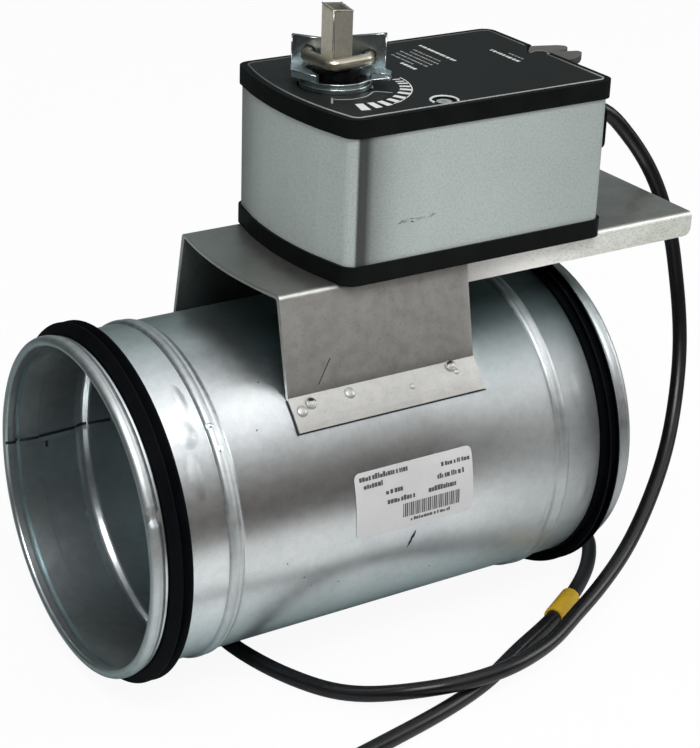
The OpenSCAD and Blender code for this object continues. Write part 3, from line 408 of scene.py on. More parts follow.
def moulded(name, colour, rough, grain=0.6, depth=0.15, dust=1.25, shine=0.5, fleck=1.0,
            painted_side_shade=1.0, tones=None):
    """Plastic or rubber with its fine moulded grain and a little dust; sides facing away from up
    can take painted shade.
    """
    material, tree, shader = new_material(name)
    place = object_position(tree)
    fine = noise_node(tree, place, grain, 2, 0.5)
    broad = noise_node(tree, place, 14.0, 4, 0.6)
    pale = tuple(c * dust + 0.001 for c in colour)
    tone = ramp(tree, broad, [(0.35, colour), (0.7, pale)])
    tone = times(tree, tone, ramp(tree, fine, [(0.35, 1 / fleck), (0.5, 1.0)]))
    # A tone along one axis; the label's edge line uses it for its painted highlight
    if tones:
        tone = times(tree, tone, along(tree, *tones))
    if painted_side_shade < 1:
        normal = add(tree, "ShaderNodeNewGeometry").outputs["Normal"]
        facing = add(tree, "ShaderNodeSeparateXYZ", normal)
        tone = times(tree, tone, ramp(tree, facing.outputs["Z"], [(0.2, painted_side_shade), (0.9, 1.0)]))
    tree.links.new(tone, shader.inputs["Base Color"])
    tree.links.new(ramp(tree, broad, [(0.3, rough * 0.85), (0.7, rough * 1.2)]),
                   shader.inputs["Roughness"])
    shader.inputs["Specular IOR Level"].default_value = shine
    bump(tree, shader, fine, depth, 0.00015)
    return material


def coated_sheet():
    """The actuator's coated sleeve: fine specks and faint cloudy patches, with painted shade at
    the bend, across the front and towards the back.
    """
    colour = (0.43, 0.485, 0.462)
    material, tree, shader = new_material("sleeve_coat")
    place = object_position(tree)
    fine = noise_node(tree, place, 0.7, 2, 0.7)
    broad = noise_node(tree, place, 30.0, 3, 0.5)
    dark = tuple(c * 0.82 for c in colour)
    pale = tuple(c * 1.12 for c in colour)
    tone = ramp(tree, fine, [(0.3, dark), (0.5, colour), (0.75, pale)])
    tone = mixed(tree, tone, ramp(tree, broad, [(0.3, 0.92), (0.7, 1.0)]), 0.7, "MULTIPLY")
    # A dark band at the bend, the front lighter in its middle and darker towards the outlet's end:
    # painted shade
    tone = times(tree, tone, along(tree, "X", 85.0, 205.0, [
        (88.5, 0.95), (90.2, 0.9), (91.0, 0.13), (94.0, 0.12), (95.4, 0.3), (97.0, 0.5),
        (102.0, 0.72), (108.0, 0.9), (119.0, 1.0), (135.0, 1.0), (165.0, 0.93), (190.0, 0.86),
        (199.0, 0.8)]))
    # Darker towards the back: painted shade
    tone = times(tree, tone, along(tree, "Y", 0.0, 40.0, [
        (12.0, 1.0), (22.0, 0.82), (30.0, 0.6), (38.0, 0.45)]))
    tree.links.new(tone, shader.inputs["Base Color"])
    shader.inputs["Metallic"].default_value = 0.2
    shader.inputs["Roughness"].default_value = 0.45
    bump(tree, shader, fine, 0.12, 0.0002)
    return material


zinc_sheet = duct_zinc()
# The rolled edges and beads grow darker towards the outlet and in corners: painted shade
rolled_zinc = galvanised(
    "rolled_zinc", (0.72, 0.75, 0.76), (0.62, 0.66, 0.67), (0.42, 0.52), grain=9.0, dents=0.2,
    places=[("X", 0.0, 250.0, [(135, 1.0), (170, 0.85), (205, 0.7)])])[0]
bracket_sheet = bracket_zinc()
black_rubber = moulded("black_rubber", (0.0025, 0.003, 0.004), 0.55, 0.9, 0.1, shine=0.04)
case_black = moulded("case_black", (0.0035, 0.004, 0.004), 0.5, 0.5, 0.2, shine=0.1)
label_black = moulded("label_black", (0.010, 0.0105, 0.0105), 0.45, 0.35, 0.1, shine=0.22,
                      fleck=1.9)
# A grey line along the cover's rounded edge, fading towards the back: painted highlight
painted_edge_highlight = moulded("painted_edge_highlight", (0.30, 0.31, 0.31), 0.35, 0.8, 0.05, tones=(
    "Y", -50.0, 50.0, [(-30, 1.0), (-10, 0.7), (10, 0.35), (40, 0.22)]))
sleeve_coat = coated_sheet()
cable_black = moulded("cable_black", (0.004, 0.004, 0.005), 0.3, 3.0, 0.05, shine=0.4)
# The clamp is lighter low on its jaws and darker at their tops: painted reflection
zinc_bright = plain_metal("zinc_bright", (0.48, 0.55, 0.57), 0.32, 9.0, 0.03, vary=0.85, tones=(
    "Z", 140.0, 180.0, [(CLAMP_Z, 1.7), (CLAMP_Z + 3, 1.6), (CLAMP_Z + 7, 0.85),
                        (CLAMP_Z + 15, 0.7)]))
# Brighter than the clamp: painted highlights along edges
highlight_edge_metal = plain_metal("highlight_edge_metal", (0.74, 0.79, 0.80), 0.2, 2.0, 0.03)
# Brighter than the sheet: painted highlight on the step inside each hem
step_highlight_metal = plain_metal("step_highlight_metal", (0.86, 0.88, 0.87), 0.28, 4.0, 0.03)
zinc_white = plain_metal("zinc_white", (0.62, 0.63, 0.60), 0.3)
clinch_zinc = plain_metal("clinch_zinc", (0.52, 0.52, 0.505), 0.42, 2.0, 0.1, 0.7)
bolt_beige = plain_metal("bolt_beige", (0.56, 0.52, 0.42), 0.38, 3.0, 0.03, vary=0.9)
# The shaft's left face is lightest, its right face lighter than the faces between: painted light
shaft_nickel = plain_metal("shaft_nickel", (0.66, 0.62, 0.52), 0.4, 1.2, 0.25, 0.4, tones=(
    "X", 95.0, 115.0, [(101.15, 1.0), (101.35, 0.46), (108.8, 0.41), (109.0, 0.8)]))
steel_grey = plain_metal("steel_grey", (0.5, 0.52, 0.54), 0.34)
collar_teal = plain_metal("collar_teal", (0.36, 0.45, 0.45), 0.34, 6.0, 0.02)
hub_black = plain_metal("hub_black", (0.02, 0.02, 0.022), 0.4)
bush_black = moulded("bush_black", (0.02, 0.02, 0.022), 0.45)
journal_white = moulded("journal_white", (0.72, 0.7, 0.64), 0.45)
gear_white = moulded("gear_white", (0.74, 0.71, 0.62), 0.4)
brass = plain_metal("brass", (0.74, 0.56, 0.24), 0.25)
board_green = moulded("board_green", (0.02, 0.12, 0.05), 0.35)
part_dark = moulded("part_dark", (0.03, 0.032, 0.04), 0.35)
marker_yellow = moulded("marker_yellow", (0.47, 0.30, 0.02), 0.4, 2.0, 0.05, shine=0.3)
core_brown = moulded("core_brown", (0.16, 0.06, 0.02), 0.4)
# The crank's sides are darker than its top: painted shade
crank_grey = moulded("crank_grey", (0.095, 0.093, 0.082), 0.5, 0.7, 0.15, painted_side_shade=0.45)
print_white = moulded("print_white", (0.70, 0.71, 0.70), 0.5, 1.0, 0.02, 1.02)
print_grey = moulded("print_grey", (0.29, 0.305, 0.30), 0.5, 1.0, 0.02, 1.02)
sticker_white = moulded("sticker_white", (0.47, 0.47, 0.47), 0.45, 2.0, 0.05, 1.08)
ink_grey = moulded("ink_grey", (0.055, 0.055, 0.06), 0.5, 1.0, 0.02, 1.02)
# Dark for real seams and scratches, and for painted shade in cups, along the foot and beside the
# shaft's corner
seam_and_shade_dark = moulded("seam_and_shade_dark", (0.012, 0.014, 0.015), 0.6, 1.0, 0.1)
scuff_grey = moulded("scuff_grey", (0.12, 0.13, 0.125), 0.5, 1.0, 0.1)
scuff_pale = moulded("scuff_pale", (0.25, 0.275, 0.262), 0.5, 1.0, 0.1, fleck=1.4)
# A pale ring round each screw's recess: painted highlight
painted_rim_highlight = moulded("painted_rim_highlight", (0.52, 0.56, 0.55), 0.35, 0.8, 0.05)
# Bright burrs of the sawn end, and a painted highlight down the shaft's corner
sawn_burr_and_highlight = plain_metal("sawn_burr_and_highlight", (0.80, 0.74, 0.66), 0.3, 1.0, 0.1)
screw_zinc = plain_metal("screw_zinc", (0.55, 0.58, 0.58), 0.3, 2.0, 0.05, 0.5)

finish = {
    zinc_sheet: ["duct_tube", "blade_front", "blade_back"],
    bracket_sheet: ["bracket"],
    black_rubber: ["inlet_seal", "outlet_seal", "blade_seal", "cable_gland"],
    case_black: ["lower_tray", "top_cover"],
    label_black: ["label_plate"],
    sleeve_coat: ["housing_sleeve"],
    cable_black: ["cable"],
    zinc_bright: ["clamp_bracket"],
    screw_zinc: ["cover_screws"],
    zinc_white: ["mounting_screws", "gear_plate_screws", "clamp_nuts", "blade_rivets",
                 "core_ferrules"],
    bolt_beige: ["v_bolt"],
    shaft_nickel: ["blade_shaft"],
    collar_teal: ["hub_collar"],
    steel_grey: ["gear_plate", "gear_axles", "motor", "return_spring", "spring_case",
                 "output_gear"],
    hub_black: ["output_hub"],
    bush_black: ["upper_bush", "lower_bush"],
    journal_white: ["upper_journal", "lower_journal"],
    gear_white: ["second_gear", "first_gear"],
    brass: ["motor_pinion"],
    board_green: ["circuit_board"],
    part_dark: ["board_parts"],
    marker_yellow: ["cable_marker"],
    core_brown: ["cable_cores"],
    crank_grey: ["crank_handle"],
}
for material, names in finish.items():
    for name in names:
        mesh = nodes[name].data
        mesh.materials.clear()
        mesh.materials.append(material)


# Cable

CABLE_RADIUS = 3 * MM
cable_points = [Vector(p) * MM for p in (
    (213.2, 4, 119.5), (218, 4, 119.5), (225, 4, 118.6), (231.5, 4, 116.3), (237.9, 4, 112.2),
    (243.4, 3.8, 106.4), (248.5, 3.3, 100.8), (252.9, 2.6, 95.3), (256.4, 1.7, 89.8),
    (259.2, 0.7, 84.5), (261.6, -0.5, 79), (265, -3, 67.8), (267.8, -4.9, 56.5),
    (269.5, -6.4, 45.3), (270.8, -9.7, 28.6), (268, -15.9, 12.4), (260.5, -24.4, -5),
    (249, -34.4, -20.7), (233, -45, -35), (214, -55.5, -47), (193, -65.5, -54),
    (175, -73.5, -57.2), (156.6, -82.6, -58.7), (137.2, -88.5, -58.7), (125.7, -89.8, -58.7),
    (114.5, -89.7, -58.7), (105, -88.1, -58.8), (96.5, -84.8, -59.6), (89.4, -80, -61.2),
    (82, -73, -63.7), (72, -62, -65.2), (63, -45, -65.2), (57.5, -27, -65.2), (55, -8, -65.2),
    (58, 14, -65.2), (68, 37, -65.2), (86, 58, -65.2), (112, 72, -65.2), (142, 77, -65.2),
    (172, 73, -65.2), (200, 60, -65.2), (222, 38, -65.2), (232, 12, -65.2), (228, -14, -64.8),
    (212, -35, -64.2), (192, -51, -64.2), (172, -63, -64.2), (148, -74, -64.4), (125, -85, -65.2),
    (100, -93, -65.2), (72, -99, -65.2), (46, -104, -65.2), (24, -108, -65.2))]


def make_cable():
    """The lead as one smooth round curve, and the line that it follows."""
    line = smoothed(dense_curve(cable_points, 3 * MM), 6)
    curve = bpy.data.curves.new("lead", "CURVE")
    curve.dimensions = "3D"
    curve.bevel_depth = CABLE_RADIUS
    curve.bevel_resolution = 6
    curve.use_fill_caps = True
    spline = curve.splines.new("POLY")
    spline.points.add(len(line) - 1)
    for point, place in zip(spline.points, line):
        point.co = (*place, 1)
    spline.use_smooth = True
    curve.materials.append(cable_black)
    lead = link(bpy.data.objects.new("lead", curve), "damper")
    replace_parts(lead, "cable")
    return lead, line


lead, cable_line = make_cable()


# Seams, clinches and dents of the sheet


def duct_patch(centre, half, radius, steps, inside=False):
    """A flat patch that lies on the duct's curve."""
    (x, angle), (half_x, half_angle) = centre, half
    rows, columns = steps
    verts = [polar(radius, angle + (2 * k / columns - 1) * half_angle,
                   x + (2 * i / rows - 1) * half_x)
             for i in range(rows + 1) for k in range(columns + 1)]
    faces = grid_faces(rows + 1, columns + 1, flip=True)
    return verts, [face[::-1] for face in faces] if inside else faces


def lump(x, angle, half_x, half_angle, height, radius=SHEET_R, rings=6, sides=24):
    """A soft round lump of the sheet that runs out to nothing at its rim."""
    verts = [polar(radius + height, angle, x)]
    for i in range(1, rings + 1):
        t = i / rings
        lift = height * (1 - t * t) ** 2 - 0.03 * t
        verts += [polar(radius + lift, angle + half_angle * t * s, x + half_x * t * c)
                  for c, s in ring(sides)]
    faces = [(0, 1 + k, 1 + (k + 1) % sides) for k in range(sides)]
    faces += [tuple(1 + i for i in face)
              for face in grid_faces(rings, sides, loop_columns=True, flip=True)]
    return verts, faces


def turned_band(profile, change, sides=240):
    """A ring round the duct from a profile of (x, radius), changed a little by angle."""
    verts = []
    for k in range(sides):
        degrees = 360 * k / sides - 180
        verts += [polar(radius + change(degrees, x), degrees, x) for x, radius in profile]
    return verts, grid_faces(sides, len(profile), loop_rows=True)


def mirrored(profile):
    """The same profile at the duct's other end."""
    return [(2 * MIDDLE_X - x, r) for x, r in reversed(profile)]


def unevenness(seed, size, parts=7):
    """A smooth small change with the angle, as hand-fed rolling leaves it."""
    draw = random.Random(seed)
    waves = [(draw.randint(2, 40), draw.uniform(0, 6.28), draw.uniform(0.3, 1.0))
             for _ in range(parts)]
    total = sum(share for _, _, share in waves)

    def change(degrees, x):
        a = math.radians(degrees)
        return size * sum(share * math.sin(n * a + start + x) for n, start, share in waves) / total
    return change


def make_bands():
    """The rolled hem at each end and the two pressed beads, with their sharper edges."""
    roll = [(-1.15, 61.2), (-1.05, 61.8), (-0.75, 62.3), (-0.25, 62.7), (0.4, 62.95),
            (1.1, 63.05), (1.55, 63.03), (1.75, 62.93), (1.95, 63.0), (2.6, 62.85), (3.2, 62.6),
            (3.8, 62.3), (4.2, 61.9)]
    bead = [(28.45, 61.9), (28.75, 62.35), (29.1, 62.85), (29.6, 63.15), (30.3, 63.3),
            (31.1, 63.28), (31.7, 63.16), (32.1, 63.02), (32.35, 63.0), (32.7, 63.12),
            (33.2, 63.1), (33.7, 62.9), (34.2, 62.5), (34.6, 62.05), (34.8, 61.85)]
    step = [(6.3, 61.25), (6.6, 60.9), (7.1, 60.72), (7.7, 60.78), (8.2, 61.0), (8.5, 61.25)]
    rolled = unevenness(3, 0.07)
    swell_from, joint_from, joint_to = -84, -69.3, -67.3

    def lap(degrees, x):
        """The inlet's hem swells towards its open joint and dips there."""
        extra = rolled(degrees, x)
        if joint_from < degrees < joint_to:
            extra -= 0.6
        elif swell_from < degrees <= joint_from:
            extra += 0.22 * (degrees - swell_from) / (joint_from - swell_from)
        return extra
    gather("rolled_edges", [
        turned_band(roll, lap), turned_band(mirrored(roll), unevenness(4, 0.07)),
        turned_band(bead, unevenness(5, 0.05)),
        turned_band(mirrored(bead), unevenness(6, 0.05))], rolled_zinc)
    # The real step inside each hem, in brighter metal: painted highlight
    gather("hem_step", [turned_band(step, unevenness(9, 0.04)),
                        turned_band(mirrored(step), unevenness(10, 0.04))], step_highlight_metal)


def clinch(x, angle, profile, sides=20):
    """One round clinch on the foot, turned from a profile of (radius, height)."""
    verts = []
    centre = polar(FOOT_R, angle, x)
    along_duct, out = Vector((1, 0, 0)), polar(1, angle, 0).normalized()
    side = along_duct.cross(out)
    for radius, height in profile:
        verts += [centre + (along_duct * c + side * s) * radius * MM + out * height * MM
                  for c, s in ring(sides)]
    faces = grid_faces(len(profile), sides, loop_columns=True)
    last = (len(profile) - 1) * sides
    faces.append(tuple(range(sides)))
    faces.append(tuple(last + k for k in range(sides)))
    return verts, faces


def sickle(x, angle, middle, span, radius=1.85, steps=14):
    """A sickle of painted shade over a cup's rim and inner wall; middle and span in degrees, 90 is
    up.
    """
    verts = []
    rim_r = FOOT_R + 0.84
    for i in range(steps + 1):
        a = math.radians(middle + (i / steps - 0.5) * span)
        share = math.sin(math.pi * i / steps)
        for r, drop in ((radius, 0), (radius - 0.6 * share, 0.02), (radius - share, 0.6 * share)):
            fall = math.degrees(r * math.sin(a) / rim_r) * (1 if angle > 0 else -1)
            verts.append(polar(rim_r - drop, angle - fall, x + r * math.cos(a)))
    return verts, grid_faces(steps + 1, 3)


def make_clinches():
    """The pressed joints of both feet, near and far, and the shade in their two cups."""
    cup = [(0.5, 0.15), (1.1, 0.2), (1.35, 0.75), (1.75, 0.8), (2.2, 0.15), (2.3, -0.1)]
    dome = [(0.3, 0.62), (1.0, 0.55), (1.6, 0.38), (2.1, 0.1), (2.2, -0.1)]
    small = [(0.2, 0.35), (0.7, 0.3), (1.1, 0.08), (1.15, -0.1)]
    places = ((70.1, 45.3, cup), (65.8, 47.2, dome), (86.5, 44.9, dome), (111.9, 47.6, small),
              (130.3, 43.9, cup), (131.9, 46.2, small))
    parts = [clinch(x, side * angle, profile) for side in (-1, 1) for x, angle, profile in places]
    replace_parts(gather("clinches", parts, clinch_zinc, closed=True), "bracket_rivets")
    shades = [sickle(x, side * angle, middle, span) for side in (-1, 1)
              for x, angle, middle, span in ((70.1, 45.3, 80, 175), (130.3, 43.9, 100, 190))]
    gather("clinch_shades", shades, seam_and_shade_dark)


def strip(verts):
    """A ribbon from its points, taken from one edge and the other by turns."""
    return verts, grid_faces(len(verts) // 2, 2)


def make_seams():
    """The lap inside, the painted shade along the foot's edge, and small marks of handling."""
    inner = [(-0.9, 59.42), (3.3, 59.42), (3.6, 61.0), (5.0, 61.6), (5.4, 60.5), (13.2, 60.5),
             (13.7, 61.3), (28.3, 61.3), (29.5, 61.6), (31.0, 62.2), (32.6, 62.2), (34.2, 61.6),
             (35.3, 61.3), (44.0, 61.3)]
    wave = [(-1, 89.6), (6, 90.4), (10, 90.0), (15, 91.2), (26, 90.7), (36, 90.0), (44, 90.6)]
    lap_from = 13.0
    seam, lap = [], []
    for x, radius in inner:
        low = max(p for p in wave if p[0] <= x)
        high = min(p for p in wave if p[0] > x or p == wave[-1])
        share = (x - low[0]) / max(high[0] - low[0], 1)
        angle = low[1] + (high[1] - low[1]) * share
        seam += [polar(radius, angle + edge, x) for edge in (-0.65, 0.45)]
        if x >= lap_from:
            lap += [polar(radius - 0.12, angle + edge, x) for edge in (0.45, 2.2)]
    gather("inner_seam", [strip(seam), duct_patch((16.4, 92.6), (1.1, 0.7), 61.2, (3, 3), True),
                          duct_patch((16.7, 94.3), (0.5, 1.2), 61.2, (2, 3), True)], seam_and_shade_dark)
    gather("inner_seam_lap", [strip(lap)], zinc_sheet)
    # A dark strip along the foot's edges: painted shade
    gather("foot_edge_shade", [duct_patch((102.2, -54.12), (40.2, 0.2), SHEET_R + 0.35, (20, 2)),
                        duct_patch((62.0, -48.4), (0.22, 6.1), SHEET_R + 0.35, (2, 10))],
           seam_and_shade_dark)
    lumps = ((30.4, -44.6, 1.6, 1.5, 0.5, 63.1), (31.0, -52.5, 1.2, 2.2, 0.35, 63.1),
             (21.4, -45.5, 4.2, 5.5, 0.42), (20.2, -60.0, 3.2, 9.0, 0.3),
             (23.8, -33.0, 2.8, 7.0, 0.3), (166.4, -107.0, 1.2, 9.0, 0.35),
             (176.5, -118.0, 2.4, 7.0, 0.4), (184.0, -100.0, 3.0, 9.0, 0.3),
             (181.0, -62.0, 2.6, 8.0, 0.25))
    gather("pressed_marks", [lump(*each) for each in lumps], zinc_sheet)
    nicks = ((55.0, -33.6, 0.5, 0.5), (47.3, -49.4, 0.35, 0.4), (60.0, -104.0, 0.5, 0.4),
             (64.0, -109.0, 0.4, 0.4), (52.0, -96.0, 0.3, 0.4), (118.0, -118.0, 0.7, 0.3),
             (76.0, -111.0, 0.6, 0.3))
    gather("nicks", [lump(*each, 0.06) for each in nicks], scuff_grey)
    slash = ((106.3, -96.9, 0.08), (105.9, -98.1, 0.45), (105.3, -99.3, 0.75),
             (104.9, -100.3, 0.4), (104.5, -101.4, 0.6), (104.0, -102.6, 0.3),
             (103.6, -103.6, 0.08))
    gather("slash", [strip([polar(SHEET_R + 0.06, angle, x + share * width)
                            for x, angle, width in slash for share in (-1, 1)])], seam_and_shade_dark)


def sheet_piece(corners):
    """A thin closed sheet from the corners of its face."""
    verts = [Vector(c) * MM for c in corners]
    normal = (verts[1] - verts[0]).cross(verts[2] - verts[0]).normalized() * 0.03 * MM
    count = len(verts)
    verts += [v - normal for v in verts]
    faces = [tuple(range(count)), tuple(reversed(range(count, 2 * count)))]
    faces += [(i, i + count, (i + 1) % count + count, (i + 1) % count) for i in range(count)]
    return verts, faces


def leg_y(z):
    """Just before the bracket's near leg at a height."""
    return -(LEG_TOP_Y + (LEG_TOP_Z - z) * LEG_OUT / LEG_DOWN) - 0.04


def sleeve_mark(x0, x1, z0, z1, half, proud):
    """A thin leaf-shaped mark on the sleeve, from one tip to the other."""
    x, y, z = (x0 + x1) / 2, SLEEVE_Y - proud, (z0 + z1) / 2
    return sheet_piece([(x0, y, z0), (x, y, z - half), (x1, y, z1), (x, y, z + half)])


def make_scuffs():
    """The scratch on the near leg and the smear on the sleeve's front."""
    leg = [(74.7, 49.6), (75.3, 49.9), (80.7, 58.0), (80.3, 58.1)]
    gather("scuffs", [sheet_piece([(x, leg_y(z), z) for x, z in leg])], seam_and_shade_dark, False, True)
    draw = random.Random(8)
    smears = []
    for _ in range(26):
        x, z = draw.uniform(108.5, 122.5), 103.7 + draw.uniform(-0.9, 0.8)
        w, h = draw.uniform(0.4, 1.5), draw.uniform(0.1, 0.3)
        smears.append(sleeve_mark(x - w, x + w, z, z, h, 0.03))
    streaks = ((108.4, 112.6, 103.0, 103.9, 0.55), (115.6, 119.8, 103.5, 104.0, 0.4),
               (120.9, 124.2, 103.9, 104.6, 0.5))
    smears += [sleeve_mark(*each, 0.06) for each in streaks]
    gather("sleeve_scuff", smears, scuff_pale, False, True)


make_clinches()
make_bands()
make_seams()
make_scuffs()


# Sticker on the duct, left blank but for plain bars

STICKER_X, STICKER_LENGTH = 80.1, 50.6
STICKER_TOP, STICKER_TURN, STICKER_HEIGHT = -71.0, 23.4, 25.3


def on_sticker(u, v):
    """A place on the sticker from its shares across and down, as (x, angle)."""
    return STICKER_X + STICKER_LENGTH * u, STICKER_TOP - STICKER_TURN * v


def make_sticker():
    """The white sheet with its round corners, rows of plain bars and a field of stripes."""
    corner, columns = 2.3, 14
    ends = [corner * (1 - math.cos(math.pi * i / 16)) / STICKER_LENGTH for i in range(9)]
    across = ends + [i / 20 for i in range(2, 19)] + [1 - u for u in reversed(ends)]
    verts = []
    for u in across:
        edge = corner - min(min(u, 1 - u) * STICKER_LENGTH, corner)
        trim = (corner - math.sqrt(corner ** 2 - edge ** 2)) / STICKER_HEIGHT
        for k in range(columns + 1):
            x, angle = on_sticker(u, trim + k / columns * (1 - 2 * trim))
            verts.append(polar(SHEET_R + 0.14, angle, x))
    gather("sticker", [(verts, grid_faces(len(across), columns + 1))], sticker_white)
    # Start, end, top and height of each row, as shares of the sticker
    rows = [(0.04, 0.47, 0.085, 0.05), (0.73, 0.98, 0.155, 0.05), (0.07, 0.24, 0.2, 0.05),
            (0.69, 0.93, 0.325, 0.05), (0.25, 0.4, 0.355, 0.05), (0.26, 0.51, 0.505, 0.05),
            (0.61, 0.85, 0.49, 0.05), (0.46, 0.8, 0.875, 0.035)]
    draw = random.Random(5)
    ink_r = SHEET_R + 0.17
    bars = []
    for start, end, top, height in rows:
        u = start
        while u < end - 0.012:
            width = min(draw.uniform(0.011, 0.026), end - u)
            tall = 1.25 * height * draw.choice((0.8, 1.0, 1.0, 1.25))
            bars.append(duct_patch(
                on_sticker(u + width / 2, top + height - tall / 2),
                (width * STICKER_LENGTH / 2, tall * STICKER_TURN / 2), ink_r, (2, 2)))
            u += width + draw.choice((0.003, 0.003, 0.004, 0.012))
    for i in range(30):
        bars.append(duct_patch(on_sticker(0.395 + 0.0165 * i, 0.72),
                               (0.3 if i % 3 else 0.17, 2.5), ink_r, (1, 3)))
    gather("sticker_bars", bars, ink_grey)


make_sticker()


# The label's printing and its painted edge highlight


def rounded_corner(before, corner, after, radius, steps=6):
    """Points of a round between two straight lines."""
    u, v = (before - corner).normalized(), (after - corner).normalized()
    half = math.acos(u.dot(v)) / 2
    centre = corner + (u + v).normalized() * radius / math.sin(half)
    start, end = corner + u * radius / math.tan(half), corner + v * radius / math.tan(half)
    points = []
    for i in range(steps + 1):
        blend = start.lerp(end, i / steps) - centre
        points.append(centre + blend.normalized() * radius)
    return points


def label_line(inset):
    """The line of the painted highlight along the label's edge, open at the crank's notch."""
    half, left, right, bow = 40 - inset, 81.8 + inset, 200.8 - inset, 5.6
    bowed, notch_near, notch_far = left + bow, -1.5, 12.5
    end_round, side_round = 4.2 - inset / 2, 6 - inset
    # Where the bow meets the corners' rounds, as shares of its depth and half width
    share_x, share_y, steps = 0.6, 0.775, 24
    line = [Vector((right, notch_near))]
    line += rounded_corner(Vector((right, 0)), Vector((right, -half)), Vector((left, -half)),
                           end_round)
    line += rounded_corner(Vector((right, -half)), Vector((bowed, -half)),
                           Vector((left + bow * share_x, -half * share_y)), side_round)
    for i in range(3, 22):
        s = 1 - 2 * i / steps
        line.append(Vector((left + bow * s * s, -half * s)))
    line += rounded_corner(Vector((left + bow * share_x, half * share_y)), Vector((bowed, half)),
                           Vector((right, half)), side_round)
    line += rounded_corner(Vector((left, half)), Vector((right, half)), Vector((right, 0)),
                           end_round)
    return line + [Vector((right, notch_far))]


def ridge(line, width, height):
    """A low rounded line on the cover, along flat points."""
    verts, faces = [], []
    for i, point in enumerate(line):
        ahead = (line[min(i + 1, len(line) - 1)] - line[max(i - 1, 0)]).normalized()
        side = Vector((-ahead.y, ahead.x)) * width / 2
        for share, lift in ((-1, -0.02), (-0.5, 0.8 * height), (0.5, 0.8 * height), (1, -0.02)):
            place = point + side * share
            verts.append(Vector((place.x, place.y, LABEL_Z + lift)) * MM)
    for i in range(len(line) - 1):
        a = 4 * i
        faces += [(a + k, a + k + 1, a + k + 5, a + k + 4) for k in range(3)]
        faces.append((a, a + 3, a + 7, a + 4))
    last = 4 * (len(line) - 1)
    faces += [(0, 1, 2, 3), (last, last + 1, last + 2, last + 3)]
    return verts, faces


def round_shaft(radius, degrees):
    """A flat point at a radius and an angle round the shaft."""
    a = math.radians(degrees)
    return SHAFT + Vector((math.cos(a), math.sin(a))) * radius


def flat_on_label(corners):
    """A thin printed shape on the label."""
    return sheet_piece([(x, y, LABEL_Z + 0.04) for x, y in corners])


def make_label():
    """The painted edge highlight, a plain position scale round the shaft, and rows of plain
    dashes.
    """
    end = [Vector(p) for p in ((198.1, -1.5), (199.6, -1.0), (200.1, 1.0), (199.2, 3.1),
                               (197.6, 4.0), (195.8, 4.0), (193.4, 3.0))]
    # A low grey ridge along the cover's edge: painted highlight
    gather("label_edge_highlight", [ridge(label_line(2.7), 0.85, 0.3), ridge(end, 0.9, 0.35)], painted_edge_highlight,
           closed=True)
    # Angle, middle radius, length and width of each stroke of the scale
    ticks = ((-102.2, 27.8, 7.4, 3.4), (-91.9, 27.2, 6.4, 2.7), (-82.6, 27.1, 5.8, 2.6),
             (-72.4, 26.8, 5.3, 2.5), (-61.9, 26.1, 4.9, 2.4), (-50.4, 25.5, 4.5, 2.3),
             (-40.2, 25.2, 4.2, 2.1), (-31.3, 24.8, 3.9, 1.8), (-22.7, 24.4, 3.6, 1.5),
             (-16.6, 24.0, 3.3, 1.0), (-10.1, 23.6, 3.0, 0.8))
    pale, grey = [], []
    for angle, centre, length, width in ticks:
        inner, outer = centre - length / 2, centre + length / 2
        spread = math.degrees(width / 2 / centre)
        pale.append(flat_on_label([
            round_shaft(inner, angle - spread), round_shaft(outer, angle - spread * 0.9),
            round_shaft(outer, angle + spread * 0.9), round_shaft(inner, angle + spread)]))
    pale.append(ridge([round_shaft(29.2 - 0.045 * (a + 78), a) for a in range(-78, -4, 6)],
                      0.5, 0.05))
    track = ((94.3, -14.3), (96.2, -15.9), (98.6, -17.1), (101.4, -17.8), (104.4, -17.7),
             (107.2, -17.0), (109.8, -15.4), (112.0, -13.6), (113.8, -13.6), (117.8, -17.4))
    for line in (((95.2, -13.5), (91.8, -19.0)), track, ((116.7, -5.8), (114.4, -9.5))):
        grey.append(ridge([Vector(p) for p in line], 0.8, 0.06))
    draw = random.Random(11)
    # X, first and last Y, height and colour of each row of dashes
    rows = ((141.8, 13.0, 4.0, 1.5, pale), (144.8, 24.0, 9.0, 0.9, grey),
            (147.6, 25.0, 6.0, 0.9, grey), (150.4, 26.5, 5.0, 0.9, grey),
            (153.2, 24.0, 5.0, 0.9, grey), (156.0, 26.0, 8.0, 0.9, grey),
            (161.5, 30.0, 7.0, 1.4, pale), (182.6, 13.0, -4.0, 1.5, pale),
            (186.0, 6.0, -2.0, 0.9, grey))
    for x, start, end, height, parts in rows:
        y = start
        while y > end:
            width = draw.uniform(0.6, 1.5) * (1.3 if height > 1 else 1.0)
            parts.append(flat_on_label([(x - height / 2, y), (x - height / 2, y - width),
                                        (x + height / 2, y - width), (x + height / 2, y)]))
            y -= width + draw.uniform(0.3, 0.9)
    gather("label_marks", pale, print_white, False, True)
    gather("label_lines", grey, print_grey, False, True)


make_label()


# Painted highlights on the clamp, the collar, the shaft and the screw recesses, and the shaft's
# sawn burrs


def in_clamp(u, v, z):
    """A place given in the clamp's own frame, which is turned 40 degrees on the shaft."""
    a = math.radians(-40)
    return (SHAFT.x + u * math.cos(a) - v * math.sin(a), u * math.sin(a) + v * math.cos(a), z)


